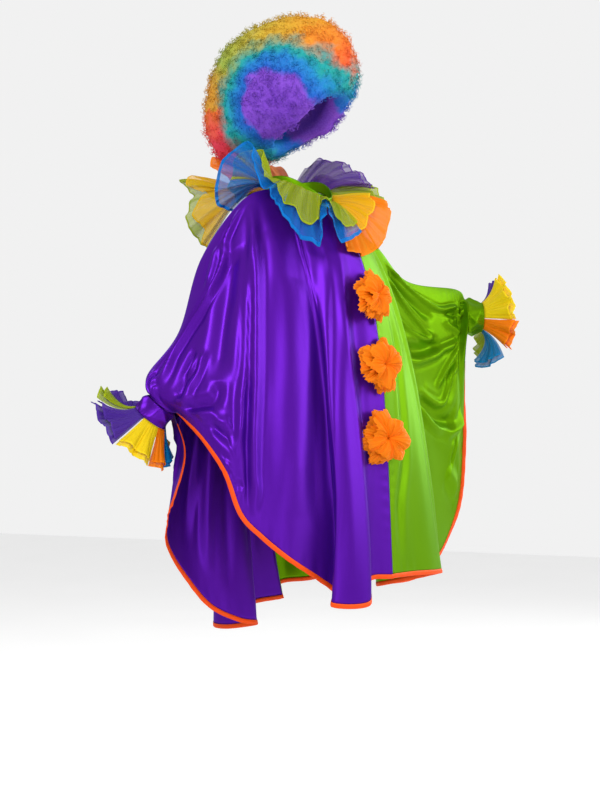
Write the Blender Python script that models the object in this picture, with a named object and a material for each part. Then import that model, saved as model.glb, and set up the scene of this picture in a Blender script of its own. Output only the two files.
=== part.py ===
"""Clown costume, as it hangs while worn: a loose satin poncho robe, half purple and half lime.

The origin is the middle of the neck opening at shoulder height. +Z is up, the front faces -Y and the
wearer's left is +X. Sizes are metres. A "thread" is a line of the cloth from the shoulder line down to
the hem, written as a cubic curve: it leaves the shoulder line along its lead, and drops to the hem past
its hang point. A panel is the surface through a short table of threads, one for each fold and valley.
"""

import math
from collections import namedtuple

import bmesh
import bpy
import numpy as np

MM = 0.001

# ---------------------------------------------------------------- driving sizes
SATIN = 1.6 * MM
TULLE = 1.2 * MM
SEAM_GAP = 0.3 * MM

NECK_HALF_WIDTH = 0.080
NECK_FRONT = 0.088
NECK_BACK = 0.072
NECK_FRONT_DROP = 0.050
NECK_BACK_DROP = 0.010
COLLAR_HEIGHT = 0.026

BINDING_WIDTH = 11 * MM
BINDING_THICKNESS = 3.0 * MM
TAPE_GAP = 0.8 * MM  # wider than a seam's, because the hem turns sharply at its corners

CUFF_LENGTH = 0.044

COLUMNS_PER_FOLD = 3
ROWS_DOWN = 12

COLOURS = {
    "purple_satin": ((0.105, 0.012, 0.42), 0.28),
    "lime_satin": ((0.20, 0.52, 0.012), 0.28),
    "orange_tape": ((0.95, 0.10, 0.004), 0.45),
    "blue_tulle": ((0.0, 0.20, 0.72), 0.7),
    "lime_tulle": ((0.42, 0.60, 0.02), 0.7),
    "yellow_tulle": ((0.90, 0.62, 0.01), 0.7),
    "orange_tulle": ((0.98, 0.20, 0.0), 0.7),
    "purple_tulle": ((0.10, 0.03, 0.40), 0.7),
    "curly_hair": ((0.22, 0.12, 0.60), 0.8),
}

# ---------------------------------------------------------------- the robe's threads
# The shoulder line of each half: side of the neck, shoulder, upper arm, elbow, forearm. The wrist follows.
SHOULDER_LINE = {
    "right": (
        (-0.080, 0.000, 0.000),
        (-0.158, 0.052, -0.034),
        (-0.208, 0.136, -0.172),
        (-0.252, 0.170, -0.345),
        (-0.306, 0.222, -0.446),
    ),
    "left": (
        (0.080, 0.000, 0.000),
        (0.170, -0.005, -0.045),
        (0.300, -0.056, -0.116),
        (0.410, -0.088, -0.201),
        (0.583, -0.143, -0.216),
    ),
}
# Each wrist: the middle of the sleeve's end, the way the forearm points, the way its top faces, the
# cuff's radius where it meets the sleeve and where it meets the frill, and how far the band stands off
# the sleeve to clear its gathers.
Wrist = namedtuple("Wrist", "middle along up start_radius end_radius stand_off")
WRISTS = {
    "right": Wrist((-0.285, 0.196, -0.511), (-0.17, 0.60, -0.78), (-0.72, 0.36, 0.50), 0.035, 0.043, 0.0032),
    "left": Wrist((0.600, -0.162, -0.288), (0.60, -0.80, 0.00), (0.0, 0.0, 1.0), 0.045, 0.037, 0.0014),
}

# The hem here is the outer edge of the binding.
# along: 0 is the middle of the neckline, 1 the side of the neck, 2 the shoulder, 6 the top of the wrist.
Thread = namedtuple("Thread", "along lead_x lead_y hang_x hang_y hem_x hem_y hem_z")
FRONT_RIGHT = [
    Thread(0.00, +0.000, -0.158, +0.000, -0.245, +0.000, -0.262, -0.923),
    Thread(0.45, -0.010, -0.149, -0.052, -0.225, -0.068, -0.236, -0.926),
    Thread(0.75, -0.020, -0.124, -0.092, -0.252, -0.130, -0.268, -0.975),
    Thread(0.95, -0.030, -0.105, -0.158, -0.229, -0.203, -0.214, -0.975),
    Thread(1.10, -0.030, -0.100, -0.142, -0.198, -0.148, -0.190, -0.950),
    Thread(1.35, -0.035, -0.095, -0.178, -0.180, -0.180, -0.167, -0.920),
    Thread(1.70, -0.040, -0.090, -0.215, -0.145, -0.262, -0.137, -0.872),
    Thread(2.15, -0.045, -0.075, -0.262, -0.105, -0.297, -0.084, -0.820),
    Thread(2.80, -0.050, -0.065, -0.300, -0.055, -0.320, -0.044, -0.770),
    Thread(3.50, -0.040, -0.055, -0.322, -0.008, -0.330, -0.010, -0.678),
    Thread(4.30, -0.035, -0.035, -0.330, +0.058, -0.326, +0.052, -0.602),
    Thread(5.20, -0.025, -0.015, -0.318, +0.134, -0.304, +0.120, -0.552),
]
BACK_RIGHT = [
    Thread(0.00, +0.000, +0.120, +0.090, +0.165, +0.185, +0.145, -1.004),
    Thread(0.45, -0.010, +0.120, +0.040, +0.195, +0.095, +0.192, -1.016),
    Thread(0.75, -0.015, +0.115, -0.020, +0.215, -0.005, +0.226, -1.054),
    Thread(0.95, -0.020, +0.110, -0.050, +0.180, -0.038, +0.175, -1.060),
    Thread(1.10, -0.020, +0.100, -0.055, +0.110, -0.036, +0.088, -1.046),
    Thread(1.35, -0.020, +0.085, -0.100, +0.120, -0.088, +0.102, -1.036),
    Thread(1.70, -0.010, +0.070, -0.150, +0.150, -0.150, +0.145, -1.000),
    Thread(2.15, +0.025, +0.055, -0.155, +0.190, -0.205, +0.176, -0.932),
    Thread(2.80, +0.035, +0.035, -0.175, +0.210, -0.265, +0.193, -0.850),
    Thread(3.50, +0.045, +0.030, -0.182, +0.213, -0.280, +0.185, -0.790),
    Thread(4.30, +0.060, +0.022, -0.192, +0.206, -0.272, +0.171, -0.735),
    Thread(5.20, +0.085, +0.030, -0.208, +0.197, -0.262, +0.146, -0.630),
]
FRONT_LEFT = [
    Thread(0.00, +0.000, -0.158, +0.000, -0.245, +0.000, -0.262, -0.922),
    Thread(0.45, +0.012, -0.172, +0.060, -0.255, +0.085, -0.276, -0.921),
    Thread(0.80, +0.030, -0.200, +0.125, -0.258, +0.170, -0.288, -0.923),
    Thread(1.05, +0.066, -0.222, +0.176, -0.246, +0.240, -0.268, -0.927),
    Thread(1.22, +0.060, -0.125, +0.185, -0.190, +0.222, -0.205, -0.943),
    Thread(1.60, +0.040, -0.035, +0.185, -0.090, +0.185, -0.130, -0.960),
    Thread(2.15, +0.025, -0.035, +0.255, -0.065, +0.280, -0.085, -0.966),
    Thread(2.80, +0.020, -0.035, +0.345, -0.095, +0.390, -0.112, -0.963),
    Thread(3.45, +0.020, -0.030, +0.430, -0.120, +0.490, -0.118, -0.938),
    Thread(4.15, +0.020, -0.030, +0.520, -0.140, +0.585, -0.118, -0.872),
    Thread(4.80, -0.020, -0.032, +0.558, -0.156, +0.630, -0.130, -0.770),
    Thread(5.35, -0.052, -0.020, +0.570, -0.156, +0.636, -0.140, -0.610),
]
BACK_LEFT = [
    Thread(0.00, +0.000, +0.120, +0.090, +0.165, +0.185, +0.145, -0.998),
    Thread(0.45, +0.010, +0.120, +0.130, +0.210, +0.235, +0.200, -0.985),
    Thread(0.80, +0.020, +0.120, +0.170, +0.200, +0.275, +0.190, -0.972),
    Thread(1.05, +0.025, +0.110, +0.200, +0.155, +0.290, +0.135, -0.966),
    Thread(1.22, +0.030, +0.095, +0.235, +0.145, +0.335, +0.118, -0.962),
    Thread(1.60, +0.030, +0.085, +0.275, +0.150, +0.385, +0.135, -0.966),
    Thread(2.15, +0.030, +0.075, +0.320, +0.125, +0.425, +0.105, -0.960),
    Thread(2.80, +0.030, +0.070, +0.390, +0.080, +0.475, +0.048, -0.950),
    Thread(3.45, +0.025, +0.065, +0.455, +0.045, +0.545, +0.012, -0.922),
    Thread(4.15, +0.020, +0.055, +0.530, +0.005, +0.612, -0.025, -0.856),
    Thread(4.80, +0.030, +0.035, +0.598, -0.050, +0.645, -0.065, -0.750),
    Thread(5.35, +0.028, +0.020, +0.618, -0.090, +0.650, -0.098, -0.600),
]

LEAD_DROP = 0.10  # how far the lead falls, as a share of the thread's height
HANG_LIFT = 0.38  # how far above the hem the hang point lies, as a share of the height
CUFF_OPENING_DEG = 8.0  # half of the slit left under each wrist


def through(keys, at):
    """The smooth curve through the rows of keys, read at row positions such as 2.5."""
    keys = np.asarray(keys, float)
    at = np.asarray(at, float)
    row = np.clip(np.floor(at).astype(int), 0, len(keys) - 2)
    part = (at - row).reshape((-1,) + (1,) * (keys.ndim - 1))
    slopes = np.gradient(keys, axis=0)
    low, high = keys[row], keys[row + 1]
    from_slope, to_slope = slopes[row], slopes[row + 1]
    square, cube = part**2, part**3
    return (
        (2 * cube - 3 * square + 1) * low
        + (cube - 2 * square + part) * from_slope
        + (3 * square - 2 * cube) * high
        + (cube - square) * to_slope
    )


def unit(vector):
    vector = np.asarray(vector, float)
    return vector / np.linalg.norm(vector, axis=-1, keepdims=True)


def shoulder_point(side, face, along):
    """A point of the neckline (along 0 to 1) or of the shoulder line out to the wrist (1 to 5)."""
    outward = -1.0 if side == "right" else 1.0
    if along <= 1.0:
        turn = along * math.pi / 2
        reach, drop = (-NECK_FRONT, NECK_FRONT_DROP) if face == "front" else (NECK_BACK, NECK_BACK_DROP)
        return np.array([
            outward * NECK_HALF_WIDTH * math.sin(turn),
            reach * math.cos(turn),
            -drop * math.cos(turn) ** 2,
        ])
    top = cuff_frame(side)
    line = list(SHOULDER_LINE[side]) + [tuple(top["middle"] + top["up"] * top["start_radius"])]
    return through(line, [along - 1.0])[0]


def cuff_frame(side):
    """The wrist's middle, its axis, its upper side and its front side, square to each other."""
    wrist = WRISTS[side]
    axis = unit(wrist.along)
    up = np.array(wrist.up) - axis * np.dot(wrist.up, axis)
    up = unit(up)
    front = np.cross(axis, up)
    if front[1] > 0:
        front = -front
    return {
        "middle": np.array(wrist.middle), "axis": axis, "up": up, "front": front,
        "start_radius": wrist.start_radius, "end_radius": wrist.end_radius, "stand_off": wrist.stand_off,
    }


def thread_controls(side, face, thread):
    top = shoulder_point(side, face, thread.along)
    hem = np.array([thread.hem_x, thread.hem_y, thread.hem_z])
    height = top[2] - hem[2]
    lead = top + np.array([thread.lead_x, thread.lead_y, -LEAD_DROP * height])
    hang = np.array([thread.hang_x, thread.hang_y, hem[2] + HANG_LIFT * height])
    return np.array([top, lead, hang, hem - unit(hem - hang) * BINDING_WIDTH])


def cuff_controls(side, face):
    """The last thread: the half of the sleeve's end that is gathered round the wrist."""
    cuff = cuff_frame(side)
    forward = cuff["front"] if face == "front" else -cuff["front"]
    slit = math.radians(CUFF_OPENING_DEG)
    radius = cuff["start_radius"]
    top = cuff["middle"] + radius * cuff["up"]
    under = cuff["middle"] + radius * (-math.cos(slit) * cuff["up"] + math.sin(slit) * forward)
    bow = 4.0 / 3.0 * radius * forward
    return np.array([top, top + bow, under + bow, under])


def panel_points(side, face, threads, per_fold=COLUMNS_PER_FOLD, rows=ROWS_DOWN):
    """The panel's middle surface: one line of points for each column, from the shoulder line to the hem."""
    controls = [thread_controls(side, face, thread) for thread in threads]
    controls.append(cuff_controls(side, face))
    columns = np.linspace(0, len(controls) - 1, (len(controls) - 1) * per_fold + 1)
    curves = through(controls, columns)
    # The top end follows the exact shoulder line, so that front and back share it.
    alongs = through([[thread.along] for thread in threads] + [[6.0]], columns)[:, 0]
    curves[:, 0] = [shoulder_point(side, face, min(max(along, 0.0), 6.0)) for along in alongs]
    down = np.linspace(0, 1, rows + 1)[:, None]
    weights = [(1 - down) ** 3, 3 * (1 - down) ** 2 * down, 3 * (1 - down) * down**2, down**3]
    return sum(weight[None] * curves[:, None, i] for i, weight in enumerate(weights))


# ---------------------------------------------------------------- cloth walls
def face_vectors(points):
    """For each square of a grid, its normal, as long as its area."""
    first = points[1:, 1:] - points[:-1, :-1]
    second = points[1:, :-1] - points[:-1, 1:]
    return np.cross(second, first) / 2


def grid_normals(grids):
    """Outward normals at the points of grids that may share points. Each grid is (points, sign)."""
    totals = {}
    keyed = []
    for points, sign in grids:
        squares = face_vectors(points) * sign
        summed = np.zeros_like(points)
        for a in (0, 1):
            for b in (0, 1):
                summed[a : a + squares.shape[0], b : b + squares.shape[1]] += squares
        keys = [tuple(key) for key in np.round(points.reshape(-1, 3) / 1e-5).astype(int)]
        for key, vector in zip(keys, summed.reshape(-1, 3)):
            totals[key] = totals.get(key, 0) + vector
        keyed.append((keys, points.shape))
    return [unit(np.array([totals[key] for key in keys])).reshape(shape) for keys, shape in keyed]


def material(name, finish):
    """The object's own material, in the colour and roughness of its finish."""
    made = bpy.data.materials.new(name)
    made.use_nodes = True
    colour, roughness = COLOURS[finish]
    shader = made.node_tree.nodes["Principled BSDF"]
    shader.inputs["Base Color"].default_value = (*colour, 1)
    shader.inputs["Roughness"].default_value = roughness
    made.diffuse_color = (*colour, 1)
    return made


def add_object(name, vertices, faces, finish):
    """One closed solid from points and faces, with its normals made to face out."""
    mesh = bpy.data.meshes.new(name)
    mesh.from_pydata([tuple(v) for v in vertices], [], faces)
    work = bmesh.new()
    work.from_mesh(mesh)
    bmesh.ops.recalc_face_normals(work, faces=work.faces)
    bmesh.ops.triangulate(work, faces=work.faces)
    work.to_mesh(mesh)
    work.free()
    mesh.shade_smooth()
    mesh.set_sharp_from_angle(angle=math.radians(50))
    made = bpy.data.objects.new(name, mesh)
    made.data.materials.append(material(name, finish))
    bpy.context.scene.collection.objects.link(made)
    return made


def wall(name, outer, inner, finish, closed=False):
    """A wall between two grids of points. closed joins the last column to the first."""
    columns, rows = outer.shape[:2]
    vertices = np.concatenate([outer.reshape(-1, 3), inner.reshape(-1, 3)])
    half = columns * rows

    def at(column, row, layer=0):
        return layer * half + (column % columns) * rows + row

    spans = range(columns if closed else columns - 1)
    faces = []
    for c in spans:
        for r in range(rows - 1):
            faces.append((at(c, r), at(c + 1, r), at(c + 1, r + 1), at(c, r + 1)))
            faces.append((at(c, r, 1), at(c, r + 1, 1), at(c + 1, r + 1, 1), at(c + 1, r, 1)))
        for r in (0, rows - 1):
            faces.append((at(c, r), at(c, r, 1), at(c + 1, r, 1), at(c + 1, r)))
    if not closed:
        for c in (0, columns - 1):
            for r in range(rows - 1):
                faces.append((at(c, r), at(c, r + 1), at(c, r + 1, 1), at(c, r, 1)))
    return add_object(name, vertices, faces, finish)


def eased_from_seams(points, front_seam=True, top_seam=True):
    """The points with the rows on a seam drawn back by half of the seam gap."""
    eased = points.copy()
    if front_seam:
        eased[0] += unit(points[1] - points[0]) * SEAM_GAP / 2
    if top_seam:
        eased[:, 0] += unit(points[:, 1] - points[:, 0]) * SEAM_GAP / 2
    return eased


# ---------------------------------------------------------------- robe
PANELS = {
    "robe_front_right": ("right", "front", FRONT_RIGHT, 1, "purple_satin"),
    "robe_back_right": ("right", "back", BACK_RIGHT, -1, "purple_satin"),
    "robe_front_left": ("left", "front", FRONT_LEFT, -1, "lime_satin"),
    "robe_back_left": ("left", "back", BACK_LEFT, 1, "lime_satin"),
}


def robe():
    """Four panels that meet at the middle front, the middle back and the shoulder lines."""
    points = {
        name: panel_points(side, face, threads)
        for name, (side, face, threads, _, _) in PANELS.items()
    }
    normals = dict(zip(PANELS, grid_normals([(points[name], PANELS[name][3]) for name in PANELS])))
    for name, (_, _, _, _, finish) in PANELS.items():
        middle, normal = points[name], normals[name]
        # Only the shoulder line is shared at the top: the neckline's rows are eased the same way.
        outer = eased_from_seams(middle + normal * SATIN / 2)
        inner = eased_from_seams(middle - normal * SATIN / 2)
        wall(name, outer, inner, finish)
    return points, normals


def binding(name, first, second, points, normals):
    """The folded tape along the edges of two panels, from one wrist to the other across the middle seam."""
    skip = 1  # columns nearest the wrist, where the tapes are tucked into the cuff
    edge = np.concatenate([points[first][::-1][skip:], points[second][1:-skip]])
    normal = np.concatenate([normals[first][::-1][skip:], normals[second][1:-skip]])[:, -1]
    inside, edge = edge[:, -2], edge[:, -1]
    tangent = unit(np.gradient(edge, axis=0))
    outward = unit(np.cross(normal, tangent))
    outward *= np.sign(np.sum(outward * (edge - inside), axis=1, keepdims=True))
    across = np.array([TAPE_GAP, BINDING_WIDTH])[None, :, None]
    strip = edge[:, None] + outward[:, None] * across
    lift = normal[:, None] * BINDING_THICKNESS / 2
    wall(name, strip + lift, strip - lift, "orange_tape")


# ---------------------------------------------------------------- collar band and ruff
def neckline(turn):
    """A point of the neckline. turn is in degrees from the middle front towards the wearer's right."""
    angle = math.radians(turn)
    forward = math.cos(angle)
    reach, drop = (NECK_FRONT, NECK_FRONT_DROP) if forward > 0 else (NECK_BACK, NECK_BACK_DROP)
    return np.array([-NECK_HALF_WIDTH * math.sin(angle), -reach * forward, -drop * forward**2])


def outward_at(turn):
    angle = math.radians(turn)
    return np.array([-math.sin(angle), -math.cos(angle), 0.0])


def collar_band():
    turns = np.arange(0, 360, 15)
    columns = 2
    base = np.array([neckline(turn) for turn in turns])
    outward = np.array([outward_at(turn) for turn in turns])
    lift = SATIN / 2 + SEAM_GAP + np.linspace(0, COLLAR_HEIGHT, columns)
    middle = base[:, None] + np.array([0, 0, 1.0]) * lift[None, :, None]
    half = outward[:, None] * SATIN / 2
    wall("collar_band", middle + half, middle - half, "lime_satin", closed=True)


# A ruff sector's threads: the turn of the root in degrees, and where the edge of the tulle lies. Each
# sector also has its tulle, its root's height on the collar band, and how its root tilts up, in degrees.
Wave = namedtuple("Wave", "turn edge_x edge_y edge_z")
RUFF = {
    "ruff_blue_side": ("blue_tulle", 0.010, 12, [
        Wave(4, -0.027, -0.194, -0.110),
        Wave(13, -0.089, -0.175, -0.140),
        Wave(24, -0.112, -0.146, -0.054),
        Wave(38, -0.150, -0.150, -0.147),
        Wave(53, -0.170, -0.106, -0.126),
        Wave(66, -0.177, -0.063, -0.069),
        Wave(79, -0.164, -0.025, -0.023),
        Wave(90, -0.154, +0.016, +0.013),
        Wave(100, -0.129, +0.053, +0.109),
        Wave(111, -0.135, +0.125, +0.066),
        Wave(121, -0.127, +0.150, +0.001),
        Wave(131, -0.112, +0.154, -0.038),
        Wave(140, -0.081, +0.130, -0.053),
    ]),
    "ruff_orange_front": ("orange_tulle", 0.006, 0, [
        Wave(2, -0.068, -0.172, -0.145),
        Wave(-8, -0.006, -0.180, -0.165),
        Wave(-18, +0.050, -0.196, -0.146),
        Wave(-28, +0.104, -0.189, -0.111),
        Wave(-40, +0.154, -0.177, -0.044),
        Wave(-52, +0.181, -0.143, -0.021),
    ]),
    "ruff_lime_far": ("lime_tulle", 0.006, 0, [
        Wave(-54, +0.188, -0.145, -0.040),
        Wave(-66, +0.216, -0.125, -0.014),
        Wave(-78, +0.230, -0.098, +0.015),
        Wave(-90, +0.234, -0.065, +0.032),
        Wave(-102, +0.225, -0.030, +0.026),
        Wave(-114, +0.205, +0.015, +0.049),
        Wave(-124, +0.180, +0.058, +0.024),
    ]),
    "ruff_purple_far": ("purple_tulle", 0.014, 34, [
        Wave(-57, +0.172, -0.118, +0.009),
        Wave(-66, +0.183, -0.106, +0.025),
        Wave(-77, +0.184, -0.078, +0.051),
        Wave(-88, +0.179, -0.050, +0.070),
        Wave(-100, +0.175, -0.033, +0.083),
        Wave(-112, +0.156, +0.010, +0.088),
        Wave(-124, +0.133, +0.040, +0.073),
    ]),
    "ruff_lime_back": ("lime_tulle", 0.004, -8, [
        Wave(145, -0.010, +0.247, -0.131),
        Wave(151, -0.020, +0.275, -0.106),
        Wave(159, -0.028, +0.299, -0.051),
        Wave(167, -0.014, +0.285, -0.002),
        Wave(175, -0.022, +0.318, +0.036),
        Wave(185, +0.010, +0.292, +0.026),
        Wave(197, +0.047, +0.259, +0.002),
        Wave(210, +0.088, +0.218, +0.019),
        Wave(223, +0.126, +0.171, +0.040),
        Wave(234, +0.144, +0.130, +0.019),
    ]),
    "ruff_orange_back": ("orange_tulle", 0.011, 26, [
        Wave(146, -0.037, +0.135, +0.004),
        Wave(154, -0.033, +0.177, +0.040),
        Wave(164, -0.023, +0.230, +0.068),
        Wave(174, +0.001, +0.239, +0.088),
        Wave(186, +0.032, +0.224, +0.083),
        Wave(200, +0.067, +0.193, +0.075),
        Wave(216, +0.096, +0.164, +0.086),
        Wave(234, +0.127, +0.120, +0.072),
    ]),
}
# A layer that lies on a sector: how long it is, and how far it stands off at its root and at its edge.
Over = namedtuple("Over", "finish on share root_lift edge_lift")
OVER_START = 0.008  # the share of the length at its root that is left out, to clear the collar band
RUFF_OVER = {
    "ruff_lime_side": Over("lime_tulle", "ruff_blue_side", 0.86, 0.0016, 0.009),
    "ruff_yellow_front": Over("yellow_tulle", "ruff_orange_front", 0.80, 0.0016, 0.010),
}
RUFF_ARCH = 0.10
RUFF_ROWS = 4
RUFF_COLUMNS_PER_WAVE = 2
ROOT_CHORD = 0.2 * MM  # how far a straight stretch of a root dips inside the curve of the neckline


def ruff_points(lift, root_tilt, waves, per_wave=RUFF_COLUMNS_PER_WAVE, rows=RUFF_ROWS, start=0.0, share=1.0):
    """A sector's middle surface: each thread leaves the band near level, arches, and falls to its edge."""
    columns = np.linspace(0, len(waves) - 1, (len(waves) - 1) * per_wave + 1)
    keys = through(waves, columns)
    turns, edges = keys[:, 0], keys[:, 1:]
    outwards = np.array([outward_at(turn) for turn in turns])
    tilt = math.radians(root_tilt)
    stand_off = SATIN / 2 + SEAM_GAP + ROOT_CHORD + TULLE / 2 * abs(math.sin(tilt))
    roots = np.array([neckline(turn) for turn in turns]) + outwards * stand_off
    roots[:, 2] += lift
    spans = edges - roots
    lengths = np.linalg.norm(spans, axis=1, keepdims=True)
    leave = outwards * math.cos(tilt) + np.array([0, 0, math.sin(tilt)])
    leads = roots + leave * lengths * 0.35
    nears = edges - spans * 0.33 + np.array([0, 0, RUFF_ARCH]) * lengths
    along = np.linspace(start, share, rows + 1)[:, None]
    weights = [(1 - along) ** 3, 3 * (1 - along) ** 2 * along, 3 * (1 - along) * along**2, along**3]
    parts = (roots, leads, nears, edges)
    return sum(weight[None] * part[:, None] for weight, part in zip(weights, parts))


def ruff():
    """Tulle sectors gathered onto the collar band, two of them with a second layer on top."""
    sides = {}
    for name, (finish, lift, root_tilt, waves) in RUFF.items():
        middle = ruff_points(lift, root_tilt, waves)
        normal = grid_normals([(middle, 1)])[0]
        if normal[:, 1, 2].mean() < 0:
            normal = -normal
        sides[name] = (lift, root_tilt, waves)
        wall(name, middle + normal * TULLE / 2, middle - normal * TULLE / 2, finish)
    for name, over in RUFF_OVER.items():
        under = ruff_points(*sides[over.on], start=OVER_START, share=over.share)
        normal = grid_normals([(under, 1)])[0]
        if normal[:, 1, 2].mean() < 0:
            normal = -normal
        stand = np.linspace(over.root_lift, over.edge_lift, under.shape[1])[None, :, None]
        middle = under + normal * stand
        wall(name, middle + normal * TULLE / 2, middle - normal * TULLE / 2, over.finish)


def fan(roots, outwards, axes, tilts, lengths, root_tilt, rows):
    """A gathered strip: it leaves each root at root_tilt and swings to its own tilt at the edge."""
    share = np.linspace(0, 1, rows + 1)
    swing = share**1.2 * (2.0 - share) ** 0.5
    tilt = np.radians(root_tilt + (tilts[:, None] - root_tilt) * swing[None])
    reach = lengths[:, None] * share[None]
    return (
        roots[:, None]
        + outwards[:, None] * (reach * np.cos(tilt))[..., None]
        + axes[:, None] * (reach * np.sin(tilt))[..., None]
    )


# ---------------------------------------------------------------- cuffs and wrist frills
# A frill sector: its colour, where it starts and ends round the wrist in degrees from the top, how far
# its edge leans along the hand at both ends in degrees, and its length.
Sector = namedtuple("Sector", "colour start end start_lean end_lean length")
FRILLS = {
    "right": [
        Sector("lime_tulle", -48, -10, 12, 14, 0.096), Sector("purple_tulle", -8, 48, 20, 44, 0.106),
        Sector("yellow_tulle", 50, 104, 50, 50, 0.096), Sector("orange_tulle", 106, 142, 50, 50, 0.097),
        Sector("blue_tulle", 144, 190, 52, 46, 0.092), Sector("yellow_tulle", 192, 250, 42, 24, 0.095),
        Sector("purple_tulle", 252, 310, 18, 12, 0.095),
    ],
    "left": [
        Sector("purple_tulle", -50, -2, 38, 32, 0.074), Sector("yellow_tulle", 0, 96, 29, 60, 0.086),
        Sector("orange_tulle", 98, 150, 58, 42, 0.092), Sector("blue_tulle", 152, 204, 24, -10, 0.096),
        Sector("lime_tulle", 206, 256, -2, 12, 0.084), Sector("orange_tulle", 258, 308, 18, 34, 0.078),
    ],
}
FRILL_ROOT_LEAN = 55.0
FRILL_SWAY_DEG = 8.0
FRILL_PLEAT_DEG = 19.0
FRILL_COLUMNS_PER_PLEAT = 3
FRILL_UNEVEN = 0.04  # how much a pleat's length varies, as a share
FRILL_UNEVEN_BEAT = 1.7  # radians a column, so that the lengths don't repeat
CUFF_TWIST_FOLDS = 5
CUFF_TWIST = 2.2  # radians that a crush fold turns from one end of the band to the other
CUFF_SWELL = 4.0 * MM
CUFF_FOLD_DEPTH = 3.0 * MM
CUFF_COLUMNS = 30


def cuff_point(cuff, turn, forward, radius):
    """A point round the wrist: turn is in degrees from its top, passing the front at 90."""
    angle = math.radians(turn)
    spoke = math.cos(angle) * cuff["up"] + math.sin(angle) * cuff["front"]
    return cuff["middle"] + cuff["axis"] * forward + spoke * radius, spoke


def cuff_radius(cuff, forward):
    share = forward / CUFF_LENGTH
    return cuff["start_radius"] + (cuff["end_radius"] - cuff["start_radius"]) * share


def cuff_band(side, finish):
    """The satin band at the wrist: a short tube with slanting crush folds."""
    cuff = cuff_frame(side)
    stations = np.linspace(cuff["stand_off"], CUFF_LENGTH, 5)
    outer, inner = [], []
    for turn in np.arange(0, 360, 360 / CUFF_COLUMNS):
        outer.append([])
        inner.append([])
        for forward in stations:
            share = forward / CUFF_LENGTH
            swell = CUFF_SWELL * math.sin(math.pi * share)
            crush = CUFF_FOLD_DEPTH * math.sin(math.pi * share)
            wave = math.cos(math.radians(CUFF_TWIST_FOLDS * turn) + CUFF_TWIST * share)
            radius = cuff_radius(cuff, forward) + swell + crush * wave
            outer[-1].append(cuff_point(cuff, turn, forward, radius + SATIN / 2)[0])
            inner[-1].append(cuff_point(cuff, turn, forward, radius - SATIN / 2)[0])
    wall(f"cuff_band_{side}", np.array(outer), np.array(inner), finish, closed=True)


def frills(side):
    """The wrist frill: folded tulle in fan sectors, each pleated, that stand out round the hand."""
    cuff = cuff_frame(side)
    start = CUFF_LENGTH + SEAM_GAP + TULLE / 2
    for number, sector in enumerate(FRILLS[side]):
        pleats = max(2, round((sector.end - sector.start) / FRILL_PLEAT_DEG))
        count = pleats * FRILL_COLUMNS_PER_PLEAT + 1
        turns = np.linspace(sector.start, sector.end, count)
        placed = [cuff_point(cuff, turn, start, cuff["end_radius"]) for turn in turns]
        roots = np.array([point for point, _ in placed])
        outwards = np.array([spoke for _, spoke in placed])
        axes = np.tile(cuff["axis"], (count, 1))
        beat = np.arange(count) * 2 * math.pi / FRILL_COLUMNS_PER_PLEAT
        leans = np.linspace(sector.start_lean, sector.end_lean, count) + FRILL_SWAY_DEG * np.cos(beat)
        lengths = sector.length * (1 + FRILL_UNEVEN * np.sin(np.arange(count) * FRILL_UNEVEN_BEAT + number))
        middle = fan(roots, outwards, axes, leans, lengths, FRILL_ROOT_LEAN, 3)
        normal = grid_normals([(middle, 1)])[0]
        colour = sector.colour.split("_")[0]
        name = f"frill_{side}_{number + 1}_{colour}"
        wall(name, middle + normal * TULLE / 2, middle - normal * TULLE / 2, sector.colour)


# ---------------------------------------------------------------- pompoms
# A pompom beside the middle front seam: its height, its radius, and how far it is turned towards the
# wearer's left from square to the cloth, in degrees.
Pompom = namedtuple("Pompom", "name height radius turned")
POMPOMS = [
    Pompom("pompom_top", -0.266, 0.054, 14), Pompom("pompom_middle", -0.424, 0.056, 6),
    Pompom("pompom_bottom", -0.594, 0.057, -3),
]
# Its profile, as shares of the radius: reach from the axis, and height off the cloth.
PUFF_PROFILE = ((0.34, 0.74), (0.76, 0.71), (1.00, 0.44), (0.50, 0.17))
PUFF_CENTRE = 0.60
PUFF_PLEATS = 12
PUFF_COLUMNS_PER_PLEAT = 3
PUFF_PLEAT_DEPTH = 0.13
PUFF_VALLEY = -0.5  # how deep a valley is for a pleat of 1
PUFF_COLUMN = 1  # the panel's column that the pompoms are sewn to, just to the right of the seam


def pompom_frame(pompom, points, normals):
    """Where a pompom is sewn, and the way it faces."""
    column, facing = points[PUFF_COLUMN], normals[PUFF_COLUMN]
    order = np.argsort(column[:, 2])
    heights = column[order, 2]
    base = np.array([np.interp(pompom.height, heights, column[order, i]) for i in range(3)])
    normal = unit([np.interp(pompom.height, heights, facing[order, i]) for i in range(3)])
    angle = math.radians(pompom.turned)
    turn = np.array([
        [math.cos(angle), -math.sin(angle), 0], [math.sin(angle), math.cos(angle), 0], [0, 0, 1],
    ])
    axis = turn @ normal
    side = unit(np.cross([0, 0, 1.0], axis))
    upward = np.cross(axis, side)
    return base + normal * (SATIN / 2 + SEAM_GAP), axis, side, upward


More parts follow.
